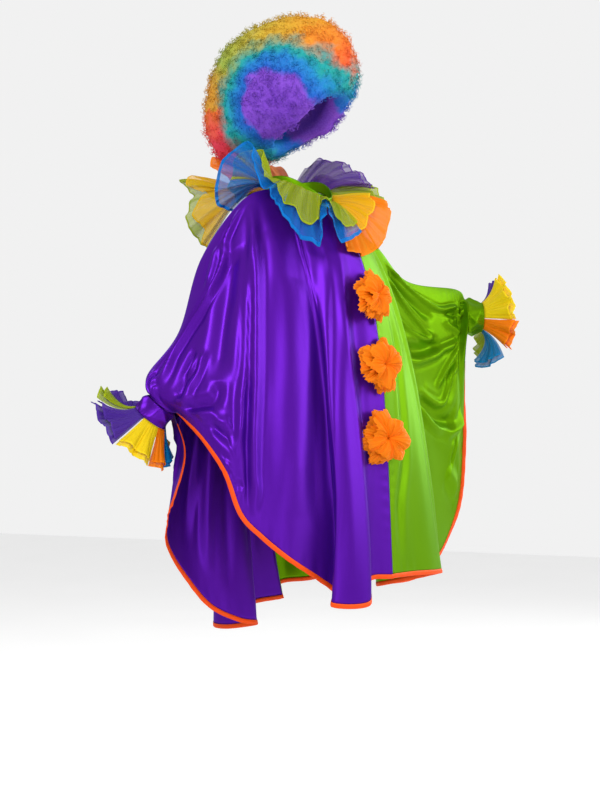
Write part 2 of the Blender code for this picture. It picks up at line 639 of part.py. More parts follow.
def pompoms(points, normals):
    """Gathered tulle puffs, pleated all round like a rosette, stitched along the middle front seam."""
    for pompom in POMPOMS:
        base, axis, side, upward = pompom_frame(pompom, points, normals)
        columns = PUFF_PLEATS * PUFF_COLUMNS_PER_PLEAT
        vertices = [base + axis * pompom.radius * PUFF_CENTRE]
        for reach, lift in PUFF_PROFILE:
            for column in range(columns):
                angle = 2 * math.pi * column / columns
                pleat = 1 + PUFF_PLEAT_DEPTH * (1 if column % PUFF_COLUMNS_PER_PLEAT == 0 else PUFF_VALLEY)
                spoke = side * math.cos(angle) + upward * math.sin(angle)
                vertices.append(base + (spoke * reach * pleat + axis * lift) * pompom.radius)
        vertices.append(base)
        faces = []
        for column in range(columns):
            after = (column + 1) % columns
            faces.append((0, 1 + column, 1 + after))
            for ring in range(len(PUFF_PROFILE) - 1):
                near, far = 1 + ring * columns, 1 + (ring + 1) * columns
                faces.append((near + column, far + column, far + after, near + after))
            last = 1 + (len(PUFF_PROFILE) - 1) * columns
            faces.append((len(vertices) - 1, last + after, last + column))
        add_object(pompom.name, vertices, faces, "orange_tulle")


# ---------------------------------------------------------------- wig
WIG_CENTRE = (0.000, 0.034, 0.232)
WIG_OPENS_DOWN_DEG = 52.0  # the way the face opening looks, down from level
WIG_OPENING_TALL_DEG = 50.0  # half of the opening's height, seen from the wig's centre
WIG_OPENING_WIDE_DEG = 34.0  # half of its width
WIG_INNER = (0.088, 0.112, 0.118)  # half sizes of the hollow for the head
WIG_HALF_WIDTH = 0.158
# The outline from the side: degrees round from straight ahead, upwards, and how far the curls reach.
Reach = namedtuple("Reach", "degrees reach")
WIG_OUTLINE = [
    Reach(-100, 0.158), Reach(-80, 0.140), Reach(-60, 0.140), Reach(-30, 0.158), Reach(-8, 0.176),
    Reach(15, 0.206), Reach(37, 0.218), Reach(58, 0.210), Reach(76, 0.198), Reach(107, 0.184),
    Reach(134, 0.190), Reach(163, 0.200), Reach(188, 0.214), Reach(205, 0.232), Reach(222, 0.2376),
    Reach(238, 0.2050), Reach(260, 0.158),
]
WIG_COLUMNS = 26
WIG_OUTER_ROWS = 10
WIG_INNER_ROWS = 5
WIG_LAST_POLAR_DEG = 172.0  # the ring next to the back pole
WIG_RIM_ROLL = 0.05  # how far past its rim the opening's edge rolls, as a share of the way back
WIG_RIM_SHARE = 0.72  # how far out of the hollow that rolled edge stands


def wig_reach(direction):
    """How far the curls reach from the wig's centre along a direction."""
    ahead, sideways, up = -direction[1], direction[0], direction[2]
    level = math.hypot(ahead, up)
    degrees = math.degrees(math.atan2(up, ahead))
    if degrees < -100:
        degrees += 360
    table = np.array(WIG_OUTLINE)
    reach = np.interp(degrees, table[:, 0], table[:, 1])
    return 1 / math.sqrt((level / reach) ** 2 + (sideways / WIG_HALF_WIDTH) ** 2)


def wig_direction(polar, turn):
    """A direction polar degrees off the opening's axis, turned round it from the top."""
    down = math.radians(WIG_OPENS_DOWN_DEG)
    axis = np.array([0.0, -math.cos(down), -math.sin(down)])
    top = np.array([0.0, -math.sin(down), math.cos(down)])
    side = np.cross(axis, top)
    angle, off = math.radians(turn), math.radians(polar)
    return axis * math.cos(off) + (top * math.cos(angle) + side * math.sin(angle)) * math.sin(off)


def wig():
    """A curly wig: a thick bowl of hair with a hollow for the head, open at the face and the neck."""
    centre = np.array(WIG_CENTRE)
    hollow = np.array(WIG_INNER)
    rings = [(1 - row / (WIG_INNER_ROWS - 1), 0.0) for row in range(WIG_INNER_ROWS)]
    rings.append((-WIG_RIM_ROLL, WIG_RIM_SHARE))
    rings += [(row / (WIG_OUTER_ROWS - 1), 1.0) for row in range(1, WIG_OUTER_ROWS)]
    vertices = []
    for back, share in rings:
        for column in range(WIG_COLUMNS):
            turn = 360 * column / WIG_COLUMNS
            rim = math.hypot(
                WIG_OPENING_TALL_DEG * math.cos(math.radians(turn)),
                WIG_OPENING_WIDE_DEG * math.sin(math.radians(turn)),
            )
            direction = wig_direction(rim + (WIG_LAST_POLAR_DEG - rim) * back, turn)
            inner = 1 / np.linalg.norm(direction / hollow)
            reach = inner + (wig_reach(direction) - inner) * share
            vertices.append(centre + direction * reach)
    back = wig_direction(180, 0)
    vertices.append(centre + back / np.linalg.norm(back / hollow))
    vertices.append(centre + back * wig_reach(back))
    faces = []
    for ring in range(len(rings) - 1):
        for column in range(WIG_COLUMNS):
            after = (column + 1) % WIG_COLUMNS
            near, far = ring * WIG_COLUMNS, (ring + 1) * WIG_COLUMNS
            faces.append((near + column, near + after, far + after, far + column))
    last = (len(rings) - 1) * WIG_COLUMNS
    for column in range(WIG_COLUMNS):
        after = (column + 1) % WIG_COLUMNS
        faces.append((column, after, len(vertices) - 2))
        faces.append((last + column, last + after, len(vertices) - 1))
    add_object("wig", vertices, faces, "curly_hair")


# ---------------------------------------------------------------- the whole costume
def main():
    for leftover in list(bpy.data.objects):
        bpy.data.objects.remove(leftover)
    points, normals = robe()
    binding("binding_front", "robe_front_right", "robe_front_left", points, normals)
    binding("binding_back", "robe_back_right", "robe_back_left", points, normals)
    collar_band()
    ruff()
    for side, finish in (("right", "purple_satin"), ("left", "lime_satin")):
        cuff_band(side, finish)
        frills(side)
    pompoms(points["robe_front_right"], normals["robe_front_right"])
    wig()


main()
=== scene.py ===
# %% [markdown]
# # A clown costume in satin, tulle and curls
#
# The costume is a poncho robe of shiny satin, half purple and half lime, with a ruff of gathered tulle at
# the neck, tulle frills at the wrists, three tulle pompoms and a curly rainbow wig. It hangs as it does
# while someone wears it, so every sheet keeps its worn shape. We start from the imported model: it fixes
# where each piece is.

# %% Load the frame
import math
from collections import namedtuple

import bpy
import numpy as np
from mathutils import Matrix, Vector


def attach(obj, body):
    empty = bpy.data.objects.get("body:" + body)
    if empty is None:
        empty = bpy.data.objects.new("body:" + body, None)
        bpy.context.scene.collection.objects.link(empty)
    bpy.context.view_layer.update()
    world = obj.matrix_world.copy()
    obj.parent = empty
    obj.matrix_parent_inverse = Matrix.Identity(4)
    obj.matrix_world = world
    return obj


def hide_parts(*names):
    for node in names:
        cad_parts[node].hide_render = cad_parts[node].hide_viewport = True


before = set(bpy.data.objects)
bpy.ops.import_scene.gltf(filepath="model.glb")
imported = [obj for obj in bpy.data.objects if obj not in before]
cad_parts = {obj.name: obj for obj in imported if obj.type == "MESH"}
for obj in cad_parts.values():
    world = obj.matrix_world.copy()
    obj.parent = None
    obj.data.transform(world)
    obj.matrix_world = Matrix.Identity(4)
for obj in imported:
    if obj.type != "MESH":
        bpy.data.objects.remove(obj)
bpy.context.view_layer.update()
print("pieces in the frame:", len(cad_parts))

# %% [markdown]
# ## Shader maths as Python
#
# A material is easier to read as an expression than as a web of nodes. `Wire` wraps one output socket, and
# its operators add the Math nodes. `Finish` makes a material, and its method `node` adds every other node.
# The short methods after it only call that one for the kinds of node that are used again and again.

# %% Wires and finishes
class Wire:
    """An output socket that can be added, multiplied and so on like a number."""

    def __init__(self, finish, socket):
        self.finish, self.socket = finish, socket

    def math(self, operation, *others):
        return self.finish.node("ShaderNodeMath", {"operation": operation}, dict(enumerate((self, *others))))

    def __add__(self, other):
        return self.math("ADD", other)

    def __mul__(self, other):
        return self.math("MULTIPLY", other)

    def __sub__(self, other):
        return self.math("SUBTRACT", other)

    def __rsub__(self, other):
        return (self * -1.0) + other

    def __pow__(self, other):
        return self.math("POWER", other)

    __radd__, __rmul__ = __add__, __mul__

    def clamped(self):
        return self.math("MINIMUM", 1.0).math("MAXIMUM", 0.0)


class Finish:
    """A material with its Principled shader, and short ways to add nodes to it."""

    def __init__(self, name):
        self.material = bpy.data.materials.new(name)
        self.material.use_nodes = True
        self.tree = self.material.node_tree

    def plug(self, socket, value):
        if isinstance(value, Wire):
            self.tree.links.new(value.socket, socket)
        else:
            socket.default_value = value

    def stops(self, elements, stops):
        """Sets the stops of a colour ramp, each a place and a colour."""
        while len(elements) < len(stops):
            elements.new(0.5)
        for element, (place, colour) in zip(elements, stops):
            element.position = place
            element.color = (*colour, 1.0)

    def node(self, kind, settings=None, sockets=None, output=0):
        """Adds a node: its settings are set first, then its sockets get values or wires."""
        made = self.tree.nodes.new(kind)
        for name, value in (settings or {}).items():
            if name == "stops":
                self.stops(made.color_ramp.elements, value)
            else:
                setattr(made, name, value)
        for name, value in (sockets or {}).items():
            self.plug(made.inputs[name], value)
        return Wire(self, made.outputs[output])

    def uv(self, across, along):
        """The piece's own UV map, in metres of cloth, scaled by two numbers."""
        uv = self.node("ShaderNodeUVMap", {"uv_map": "cloth"})
        return self.node("ShaderNodeMapping", None, {"Vector": uv, "Scale": (across, along, 1.0)})

    def number(self, vector, axis):
        return self.node("ShaderNodeSeparateXYZ", None, {"Vector": vector}, output=axis)

    def noise(self, vector, scale=1.0, detail=2.0, output=0):
        return self.node("ShaderNodeTexNoise", None, {"Vector": vector, "Scale": scale, "Detail": detail}, output)

    def bump(self, height, strength, distance):
        return self.node("ShaderNodeBump", None, {"Height": height, "Strength": strength, "Distance": distance})

    def blend(self, share, low, high):
        """A colour between low and high."""
        low, high = ((*c, 1.0) if isinstance(c, tuple) else c for c in (low, high))
        return self.node("ShaderNodeMix", {"data_type": "RGBA"}, {0: share, 6: low, 7: high}, output=2)

    def set(self, **sockets):
        """Sets the shader's sockets: Base_Color stands for Base Color."""
        for name, value in sockets.items():
            self.plug(self.tree.nodes["Principled BSDF"].inputs[name.replace("_", " ")], value)
        return self.material


print("shader helpers ready")

# %% [markdown]
# ## Satin
#
# Polyester satin has long floating threads on its face, so light runs along it in broad bright bands while
# the valleys go deep and dark. A low roughness with some metallic tint gives the coloured bands, a faint
# weave breaks the gloss close up, and a slow mottling keeps large plain stretches alive.

# %% Satin finishes
def satin(name, deep, bright, sheen, roughness):
    finish = Finish(name)
    slow = finish.noise(finish.uv(4.0, 1.2), 2.0, 3.0)
    slub = finish.noise(finish.uv(900.0, 60.0))
    crush = finish.noise(finish.uv(38.0, 13.0), detail=3.0)
    return finish.set(
        Base_Color=finish.blend(slow * 0.7 + slub * 0.2, deep, bright), Metallic=0.60,
        Roughness=slow * 0.10 + roughness, Normal=finish.bump(slub * 0.14 + crush, 0.14, 0.0016),
        Specular_IOR_Level=0.30, Specular_Tint=(*sheen, 1.0),
        Sheen_Weight=0.03, Sheen_Roughness=0.4, Sheen_Tint=(*sheen, 1.0),
    )


SATIN_SLOT = {"right": "purple_satin", "left": "lime_satin"}
SATIN = {
    "right": satin(SATIN_SLOT["right"], (0.070, 0.004, 0.285), (0.120, 0.010, 0.42), (0.58, 0.34, 1.0), 0.33),
    "left": satin(SATIN_SLOT["left"], (0.080, 0.235, 0.001), (0.19, 0.41, 0.003), (0.60, 1.0, 0.05), 0.36),
}
print("satins:", SATIN["right"].name, SATIN["left"].name)

# %% [markdown]
# ## Tape and tulle
#
# The tape is the same satin family in orange, narrow and tightly stitched, so it only needs a fine rib and
# a row of stitches. Tulle is a stiff fine net: one layer lets the colour behind it through, two layers look
# solid. The net's openings are far finer than a pleat, so the net is painted as a see-through share that
# follows the threads, and the pleats are real geometry.

# %% Tape and tulle finishes
def tape():
    finish = Finish("orange_tape")
    cloth = finish.uv(1.0, 1.0)
    rib = finish.node(
        "ShaderNodeTexWave", {"wave_type": "BANDS", "bands_direction": "X"},
        {"Vector": cloth, "Scale": 420.0, "Distortion": 0.6},
    )
    stitches = (finish.number(cloth, 1) - 0.002).math("ABSOLUTE").math("LESS_THAN", 0.0006)
    return finish.set(
        Base_Color=finish.blend(rib * 0.25 + stitches * 0.5, (0.93, 0.070, 0.0), (1.0, 0.14, 0.002)),
        Metallic=0.1, Roughness=0.5, Normal=finish.bump(rib - stitches, 0.3, 0.0006), Specular_IOR_Level=0.25,
    )


def tulle(name, deep, bright, cover, hem=0.004):
    """cover is the share of the light that one face of the net stops. hem is the width of its doubled edge."""
    finish = Finish(name)
    cloth = finish.uv(1.0, 1.0)
    net = finish.node("ShaderNodeTexVoronoi", {"feature": "DISTANCE_TO_EDGE"}, {"Vector": cloth, "Scale": 900.0})
    fine = finish.noise(finish.uv(160.0, 5.0))
    doubled = ((finish.noise(finish.uv(42.0, 1.6), detail=1.0) - 0.56) * 22.0).clamped()
    rim = ((hem - finish.number(cloth, 1)) * 900.0).clamped()
    alpha = (fine - 0.5) * 0.30 + doubled * 0.16 + rim * 0.42 - net * 0.2 + cover
    return finish.set(
        Base_Color=finish.blend(fine * 0.7 + doubled * 0.35, bright, deep), Alpha=alpha.math("MINIMUM", 1.0),
        Roughness=0.6, Normal=finish.bump(fine, 0.2, 0.001), Specular_IOR_Level=0.15,
        Sheen_Weight=0.12, Sheen_Tint=(*bright, 1.0), Sheen_Roughness=0.4,
    )


def tulles(kind, colours):
    return {colour: tulle(f"{colour}_{kind}", *row) for colour, row in colours.items()}


ORANGE_TAPE = tape()
TULLE = tulles("tulle", {
    "blue": ((0.0, 0.11, 0.45), (0.0, 0.24, 0.72), 0.42, 0.009),
    "lime": ((0.22, 0.30, 0.004), (0.44, 0.52, 0.008), 0.54),
    "yellow": ((0.80, 0.44, 0.002), (0.94, 0.60, 0.006), 0.46),
    "orange": ((0.90, 0.17, 0.0), (0.97, 0.28, 0.002), 0.78),
    "purple": ((0.060, 0.016, 0.26), (0.16, 0.055, 0.33), 0.46),
})
POMPOM_TULLE = tulle("pompom_tulle", (0.96, 0.14, 0.0), (1.0, 0.28, 0.004), 0.82)
FAN_TULLE = tulles("fan_tulle", {
    "blue": ((0.0, 0.16, 0.44), (0.0, 0.25, 0.60), 0.66),
    "lime": ((0.30, 0.40, 0.003), (0.44, 0.54, 0.008), 0.68),
    "yellow": ((0.92, 0.60, 0.006), (0.98, 0.76, 0.010), 0.84),
    "orange": ((0.94, 0.17, 0.0), (1.0, 0.27, 0.003), 0.84),
    "purple": ((0.055, 0.014, 0.26), (0.10, 0.035, 0.38), 0.78),
})
print("tulle colours:", ", ".join(TULLE))

# %% [markdown]
# ## Sheets from grids
#
# Every cloth piece here is a grid: one line of points for each thread of the pattern. The grid becomes a
# mesh whose UV map is measured along the cloth in metres, so the weave has one size everywhere, and a
# Solidify modifier gives it the thickness of cloth.

# %% Curves and grids
def unit(vector):
    vector = np.asarray(vector, float)
    return vector / np.maximum(np.linalg.norm(vector, axis=-1, keepdims=True), 1e-12)


def rows_of(text, *scales, between=","):
    """Rows of numbers written as text. Each number is divided by the scale of its column."""
    rows = (row.split() for row in text.strip().split(between))
    return [tuple(float(number) / scale for number, scale in zip(row, scales)) for row in rows]


def through(keys, at):
    """The smooth curve through the rows of keys, read at row positions such as 2.5."""
    keys, at = np.asarray(keys, float), np.asarray(at, float)
    row = np.clip(np.floor(at).astype(int), 0, len(keys) - 2)
    part = (at - row).reshape((-1,) + (1,) * (keys.ndim - 1))
    slopes = np.gradient(keys, axis=0)
    square, cube = part**2, part**3
    return (
        (2 * cube - 3 * square + 1) * keys[row]
        + (cube - 2 * square + part) * slopes[row]
        + (3 * square - 2 * cube) * keys[row + 1]
        + (cube - square) * slopes[row + 1]
    )


def bezier(along, controls):
    """Lines of points at the shares along, on the cubic curves that the four rows of controls set."""
    weights = (1 - along) ** 3, 3 * (1 - along) ** 2 * along, 3 * (1 - along) * along**2, along**3
    return sum(weight * control[:, None] for weight, control in zip(weights, controls))


def smoothstep(value):
    value = np.clip(value, 0.0, 1.0)
    return value * value * (3 - 2 * value)


def grid_normal(points):
    """A unit normal at each point of a grid."""
    return unit(np.cross(np.gradient(points, axis=0), np.gradient(points, axis=1)))


def metres(points):
    """How far each point is along its row and down its column, in metres."""
    across = np.linalg.norm(np.diff(points, axis=0), axis=2).mean(axis=1)
    down = np.linalg.norm(np.diff(points, axis=1), axis=2).mean(axis=0)
    steps = (np.concatenate([[0.0], np.cumsum(lengths)]) for lengths in (across, down))
    return np.meshgrid(*steps, indexing="ij")


print("curve helpers ready")

# %% Meshes from grids
def deselect():
    for thing in bpy.context.selected_objects:
        thing.select_set(False)


def mesh_of(name, vertices, faces, uvs, material):
    """A smooth mesh object. uvs holds one pair for each vertex."""
    mesh = bpy.data.meshes.new(name)
    mesh.from_pydata(np.asarray(vertices).tolist(), [], np.asarray(faces).tolist())
    layer = mesh.uv_layers.new(name="cloth")
    corner = np.zeros(len(mesh.loops), dtype=np.int32)
    mesh.loops.foreach_get("vertex_index", corner)
    layer.data.foreach_set("uv", np.asarray(uvs, dtype=np.float32)[corner].ravel())
    mesh.shade_smooth()
    mesh.materials.append(material)
    piece = bpy.data.objects.new(name, mesh)
    bpy.context.scene.collection.objects.link(piece)
    return piece


def sheet_piece(name, grids, thickness, material, closed=False, from_edge=False):
    """One cloth piece from one or more grids. A closed grid repeats its first column as its last.

    With from_edge, the second UV number is the distance from the piece's outer edge.
    """
    vertices, faces, uvs, count = [], [], [], 0
    for points in grids:
        u, v = metres(points)
        if from_edge:
            v = v[:, -1:] - v
        index = np.arange(u.size).reshape(u.shape) + count
        corners = (index[:-1, :-1], index[1:, :-1], index[1:, 1:], index[:-1, 1:])
        faces.append(np.stack([corner.ravel() for corner in corners], axis=1))
        vertices.append(points.reshape(-1, 3))
        uvs.append(np.stack([u.ravel(), v.ravel()], axis=1))
        count += u.size
    piece = mesh_of(name, np.concatenate(vertices), np.concatenate(faces), np.concatenate(uvs), material)
    if closed:
        weld = piece.modifiers.new("weld", "WELD")
        weld.merge_threshold = 0.00001
    wall = piece.modifiers.new("wall", "SOLIDIFY")
    wall.thickness = thickness
    wall.offset = 0.0
    deselect()
    bpy.context.view_layer.objects.active = piece
    piece.select_set(True)
    for modifier in list(piece.modifiers):
        bpy.ops.object.modifier_apply(modifier=modifier.name)
    return piece


def grid_area(points):
    first, second = points[1:, 1:] - points[:-1, :-1], points[1:, :-1] - points[:-1, 1:]
    return float(np.linalg.norm(np.cross(first, second), axis=2).sum() / 2)


MADE = {}


def placed(piece, slot, nodes):
    """Puts a piece on the model's one body, in place of the nodes that it dresses."""
    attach(piece, "root")
    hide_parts(*nodes)
    MADE[piece.name] = len(piece.data.polygons)


def sewn(piece, slot, nodes, area, length):
    """Places a cloth piece. The area and length of the cut that it was sewn from are not used."""
    placed(piece, slot, nodes)
    area / length


print("mesh helpers ready")

# %% [markdown]
# ## The robe's cut
#
# The robe has four panels: front and back, purple on the wearer's right and lime on the left. They are sewn
# together down the middle and along the shoulder lines, and open from each wrist to the hem. Worn cloth
# hangs in threads: each row below is one line of the cloth from the shoulder line to the hem. A thread
# leaves the shoulder along its lead and falls past its hang point, as a cubic curve. The surface through
# the threads gives the big folds, and the smaller creases are pressed into it afterwards.

# %% Shoulder lines and wrists
MM = 1000.0  # the tables are in millimetres, and this turns them into metres
NECK_HALF_WIDTH = 0.080
NECK = {"front": (-0.088, 0.050), "back": (0.072, 0.010)}  # how far the neckline reaches in Y, and its drop

# side of the neck, shoulder, upper arm, elbow, forearm; the wrist follows
SHOULDER_LINE = {
    "right": rows_of("-80 0 0, -158 52 -34, -208 136 -172, -252 170 -345, -306 222 -446", MM, MM, MM),
    "left": rows_of("80 0 0, 170 -5 -45, 300 -56 -116, 410 -88 -201, 583 -143 -216", MM, MM, MM),
}
# Each wrist: the middle of the sleeve's end, the way the forearm points, the way its top faces, its front,
# the cuff's radius where it meets the sleeve and where it meets the frill, and how far the band stands off
# the sleeve to clear its gathers.
Wrist = namedtuple("Wrist", "middle along up front start_radius end_radius stand_off")


def wrist(middle, along, up, *sizes):
    """A wrist whose along, up and front are square to each other, with its front facing forwards."""
    along = unit(along)
    up = unit(np.array(up) - along * np.dot(up, along))
    front = np.cross(along, up)
    return Wrist(np.array(middle), along, up, front * -np.sign(front[1]), *sizes)


WRISTS = {
    "right": wrist((-0.285, 0.196, -0.511), (-0.17, 0.60, -0.78), (-0.72, 0.36, 0.50), 0.035, 0.043, 0.0032),
    "left": wrist((0.600, -0.162, -0.288), (0.60, -0.80, 0.00), (0.0, 0.0, 1.0), 0.045, 0.037, 0.0014),
}

print("forearms point along:", {side: cuff.along.round(2).tolist() for side, cuff in WRISTS.items()})

# %% Threads of the four panels
# The columns are along, lead x and y, hang x and y, and hem x, y and z. along is 0 at the middle of the
# neckline, 1 at the side of the neck, 2 at the shoulder and 6 at the top of the wrist. The hem here is the
# outer edge of the binding.
Thread = namedtuple("Thread", "along lead_x lead_y hang_x hang_y hem_x hem_y hem_z")
THREADS = {
    "robe_front_right": """
        0.00     0  -158     0  -245     0  -262  -923
        0.45   -10  -149   -52  -225   -68  -236  -926
        0.75   -20  -124   -92  -252  -130  -268  -975
        0.95   -30  -105  -158  -229  -203  -214  -975
        1.10   -30  -100  -142  -198  -148  -190  -950
        1.35   -35   -95  -178  -180  -180  -167  -920
        1.70   -40   -90  -215  -145  -262  -137  -872
        2.15   -45   -75  -262  -105  -297   -84  -820
        2.80   -50   -65  -300   -55  -320   -44  -770
        3.50   -40   -55  -322    -8  -330   -10  -678
        4.30   -35   -35  -330    58  -326    52  -602
        5.20   -25   -15  -318   134  -304   120  -552""",
    "robe_back_right": """
        0.00     0   120    90   165   185   145 -1004
        0.45   -10   120    40   195    95   192 -1016
        0.75   -15   115   -20   215    -5   226 -1054
        0.95   -20   110   -50   180   -38   175 -1060
        1.10   -20   100   -55   110   -36    88 -1046
        1.35   -20    85  -100   120   -88   102 -1036
        1.70   -10    70  -150   150  -150   145 -1000
        2.15    25    55  -155   190  -205   176  -932
        2.80    35    35  -175   210  -265   193  -850
        3.50    45    30  -182   213  -280   185  -790
        4.30    60    22  -192   206  -272   171  -735
        5.20    85    30  -208   197  -262   146  -630""",
    "robe_front_left": """
        0.00     0  -158     0  -245     0  -262  -922
        0.45    12  -172    60  -255    85  -276  -921
        0.80    30  -200   125  -258   170  -288  -923
        1.05    66  -222   176  -246   240  -268  -927
        1.22    60  -125   185  -190   222  -205  -943
        1.60    40   -35   185   -90   185  -130  -960
        2.15    25   -35   255   -65   280   -85  -966
        2.80    20   -35   345   -95   390  -112  -963
        3.45    20   -30   430  -120   490  -118  -938
        4.15    20   -30   520  -140   585  -118  -872
        4.80   -20   -32   558  -156   630  -130  -770
        5.35   -52   -20   570  -156   636  -140  -610""",
    "robe_back_left": """
        0.00     0   120    90   165   185   145  -998
        0.45    10   120   130   210   235   200  -985
        0.80    20   120   170   200   275   190  -972
        1.05    25   110   200   155   290   135  -966
        1.22    30    95   235   145   335   118  -962
        1.60    30    85   275   150   385   135  -966
        2.15    30    75   320   125   425   105  -960
        2.80    30    70   390    80   475    48  -950
        3.45    25    65   455    45   545    12  -922
        4.15    20    55   530     5   612   -25  -856
        4.80    30    35   598   -50   645   -65  -750
        5.35    28    20   618   -90   650   -98  -600""",
}
THREADS = {
    name: [Thread(*row) for row in rows_of(text, 1, *[MM] * 7, between="\n")] for name, text in THREADS.items()
}
print("threads:", sum(map(len, THREADS.values())))

# %% Where each thread runs
BINDING_WIDTH = 0.011
LEAD_DROP = 0.10  # how far a thread's lead falls, as a share of the thread's height
HANG_LIFT = 0.38  # how high its hang point is above the hem, as the same share
CUFF_OPENING_DEG = 8.0
WRIST_ALONG = 6.0


def neck_point(turn, face):
    """A point of the neckline, turned by turn radians from the middle front."""
    reach, drop = NECK[face]
    return np.array([NECK_HALF_WIDTH * math.sin(turn), reach * abs(math.cos(turn)), -drop * math.cos(turn) ** 2])


def shoulder_point(side, face, along):
    """A point of the neckline (along 0 to 1) or of the shoulder line out to the wrist (1 to 6)."""
    outward = -1.0 if side == "right" else 1.0
    if along <= 1.0:
        return neck_point(along * math.pi / 2, face) * (outward, 1, 1)
    cuff = WRISTS[side]
    return through([*SHOULDER_LINE[side], tuple(cuff.middle + cuff.up * cuff.start_radius)], [along - 1.0])[0]


def thread_controls(side, face, thread):
    top = shoulder_point(side, face, thread.along)
    hem = np.array([thread.hem_x, thread.hem_y, thread.hem_z])
    height = top[2] - hem[2]
    lead = top + np.array([thread.lead_x, thread.lead_y, -LEAD_DROP * height])
    hang = np.array([thread.hang_x, thread.hang_y, hem[2] + HANG_LIFT * height])
    return np.array([top, lead, hang, hem - unit(hem - hang) * BINDING_WIDTH])


def cuff_controls(side, face):
    """The last thread: the half of the sleeve's end that is gathered round the wrist."""
    cuff = WRISTS[side]
    forward = cuff.front if face == "front" else -cuff.front
    slit = math.radians(CUFF_OPENING_DEG)
    top = cuff.middle + cuff.start_radius * cuff.up
    under = cuff.middle + cuff.start_radius * (-math.cos(slit) * cuff.up + math.sin(slit) * forward)
    bow = 4.0 / 3.0 * cuff.start_radius * forward
    return np.array([top, top + bow, under + bow, under])


print("top of the right wrist:", shoulder_point("right", "front", WRIST_ALONG).round(3))

# %% The surface through the threads
# outward is which way the grid's normal has to be turned, and per_fold how many columns lie between threads.
Panel = namedtuple("Panel", "side face outward per_fold rows")
PANELS = {
    "robe_front_right": Panel("right", "front", 1, 12, 152),
    "robe_back_right": Panel("right", "back", -1, 11, 128),
    "robe_front_left": Panel("left", "front", -1, 16, 152),
    "robe_back_left": Panel("left", "back", 1, 13, 128),
}


def panel_points(name):
    """The panel's surface: one line of points for each column, from the shoulder line to the hem."""
    side, face, _, per_fold, rows = PANELS[name]
    controls = [thread_controls(side, face, thread) for thread in THREADS[name]] + [cuff_controls(side, face)]
    columns = np.linspace(0, len(controls) - 1, (len(controls) - 1) * per_fold + 1)
    curves = through(controls, columns)
    alongs = through([[thread.along] for thread in THREADS[name]] + [[WRIST_ALONG]], columns)[:, 0]
    curves[:, 0] = [shoulder_point(side, face, min(max(along, 0.0), WRIST_ALONG)) for along in alongs]
    return bezier(np.linspace(0, 1, rows + 1)[:, None], curves.transpose(1, 0, 2))


SURFACE = {name: panel_points(name) for name in PANELS}
print("panel areas, m2:", {name: round(grid_area(points), 3) for name, points in SURFACE.items()})

# %% [markdown]
# ## Creases
#
# A crease is a soft ridge or trough along a short line of the cloth. Its line is given in threads and in
# the share of the way down, because a crease belongs to the cloth. Its height tapers to nothing at both
# ends, and a hollow runs along each side of a ridge, as the cloth for it has to come from somewhere.
# A crisp crease has a narrow top with wide feet, which is what makes satin flash.

# %% Pressing creases into a panel
Crease = namedtuple("Crease", "path width height crisp")
STEPS_A_SPAN = 8  # how finely a crease's curve is followed between two points of its path
HOLLOW_DEPTH = 0.30  # the hollows beside a ridge, as a share of its height


def crease_heights(points, creases, per_fold):
    """How far each point moves along its normal for all the creases of a panel."""
    columns, rows = points.shape[:2]
    column = np.arange(columns)[:, None] / per_fold
    row = np.linspace(0, 1, rows)[None]
    width_of_fold = np.maximum(np.linalg.norm(np.gradient(points, axis=0), axis=2) * per_fold, 0.004)
    height_of_thread = np.linalg.norm(np.diff(points, axis=1), axis=2).sum(axis=1)[:, None]
    total = np.zeros((columns, rows))
    for crease in creases:
        steps = STEPS_A_SPAN * (len(crease.path) - 1)
        line = through(crease.path, np.linspace(0, len(crease.path) - 1, steps + 1))
        nearest = np.full((columns, rows), 1e9)
        place = np.zeros((columns, rows))
        for step, ((fold, down), (next_fold, next_down)) in enumerate(zip(line[:-1], line[1:])):
            across, along = (column - fold) * width_of_fold, (row - down) * height_of_thread
            run, drop = (next_fold - fold) * width_of_fold, (next_down - down) * height_of_thread
            part = np.clip((across * run + along * drop) / (run**2 + drop**2), 0, 1)
            distance = (across - run * part) ** 2 + (along - drop * part) ** 2
            place = np.where(distance < nearest, (step + part) / steps, place)
            nearest = np.minimum(distance, nearest)
        taper = np.minimum(1.0, 1.9 * np.sin(math.pi * np.clip(place, 0, 1)) ** 0.8)
        x = np.sqrt(nearest) / crease.width
        ridge = np.exp(-(x ** (2.0 - 0.8 * crease.crisp))) - HOLLOW_DEPTH * np.exp(-(((x - 1.9) / 0.8) ** 2))
        total += crease.height * ridge * taper
    return total


def ripples(points, phase):
    """Slow uneven waves along the threads, as on any large hanging cloth."""
    u, v = metres(points)
    waves = ((0.0020, 30.0, 2.6, 0.0), (0.0013, 51.0, -3.4, 1.3), (0.0005, 83.0, 4.6, 2.1))
    total = np.zeros(u.shape)
    for size, across, along, start in waves:
        wander = 1.2 * np.sin(v * 3.1 + start + phase) + 0.7 * np.sin(v * 7.3 - start)
        strength = 0.55 + 0.45 * np.sin(u * 9.0 + v * 4.0 + start * 2 + phase)
        total += size * strength * np.sin(u * across + v * along + wander + start + phase)
    return total


def puckers(distance, along, size, spacing, reach):
    """Small gathers beside a seam or a bound edge, uneven in size and spacing."""
    wander = 0.9 * np.sin(along / spacing * 0.83) + 0.6 * np.sin(along / spacing * 0.31 + 1.0)
    beat = np.sin(2 * math.pi * along / spacing + wander)
    strength = 0.55 + 0.45 * np.sin(along / spacing * 0.47 + 2.0)
    profile = smoothstep(distance / (0.25 * reach)) * np.exp(-((distance / reach) ** 2))
    return size * beat * strength * profile


print("crease helpers ready")

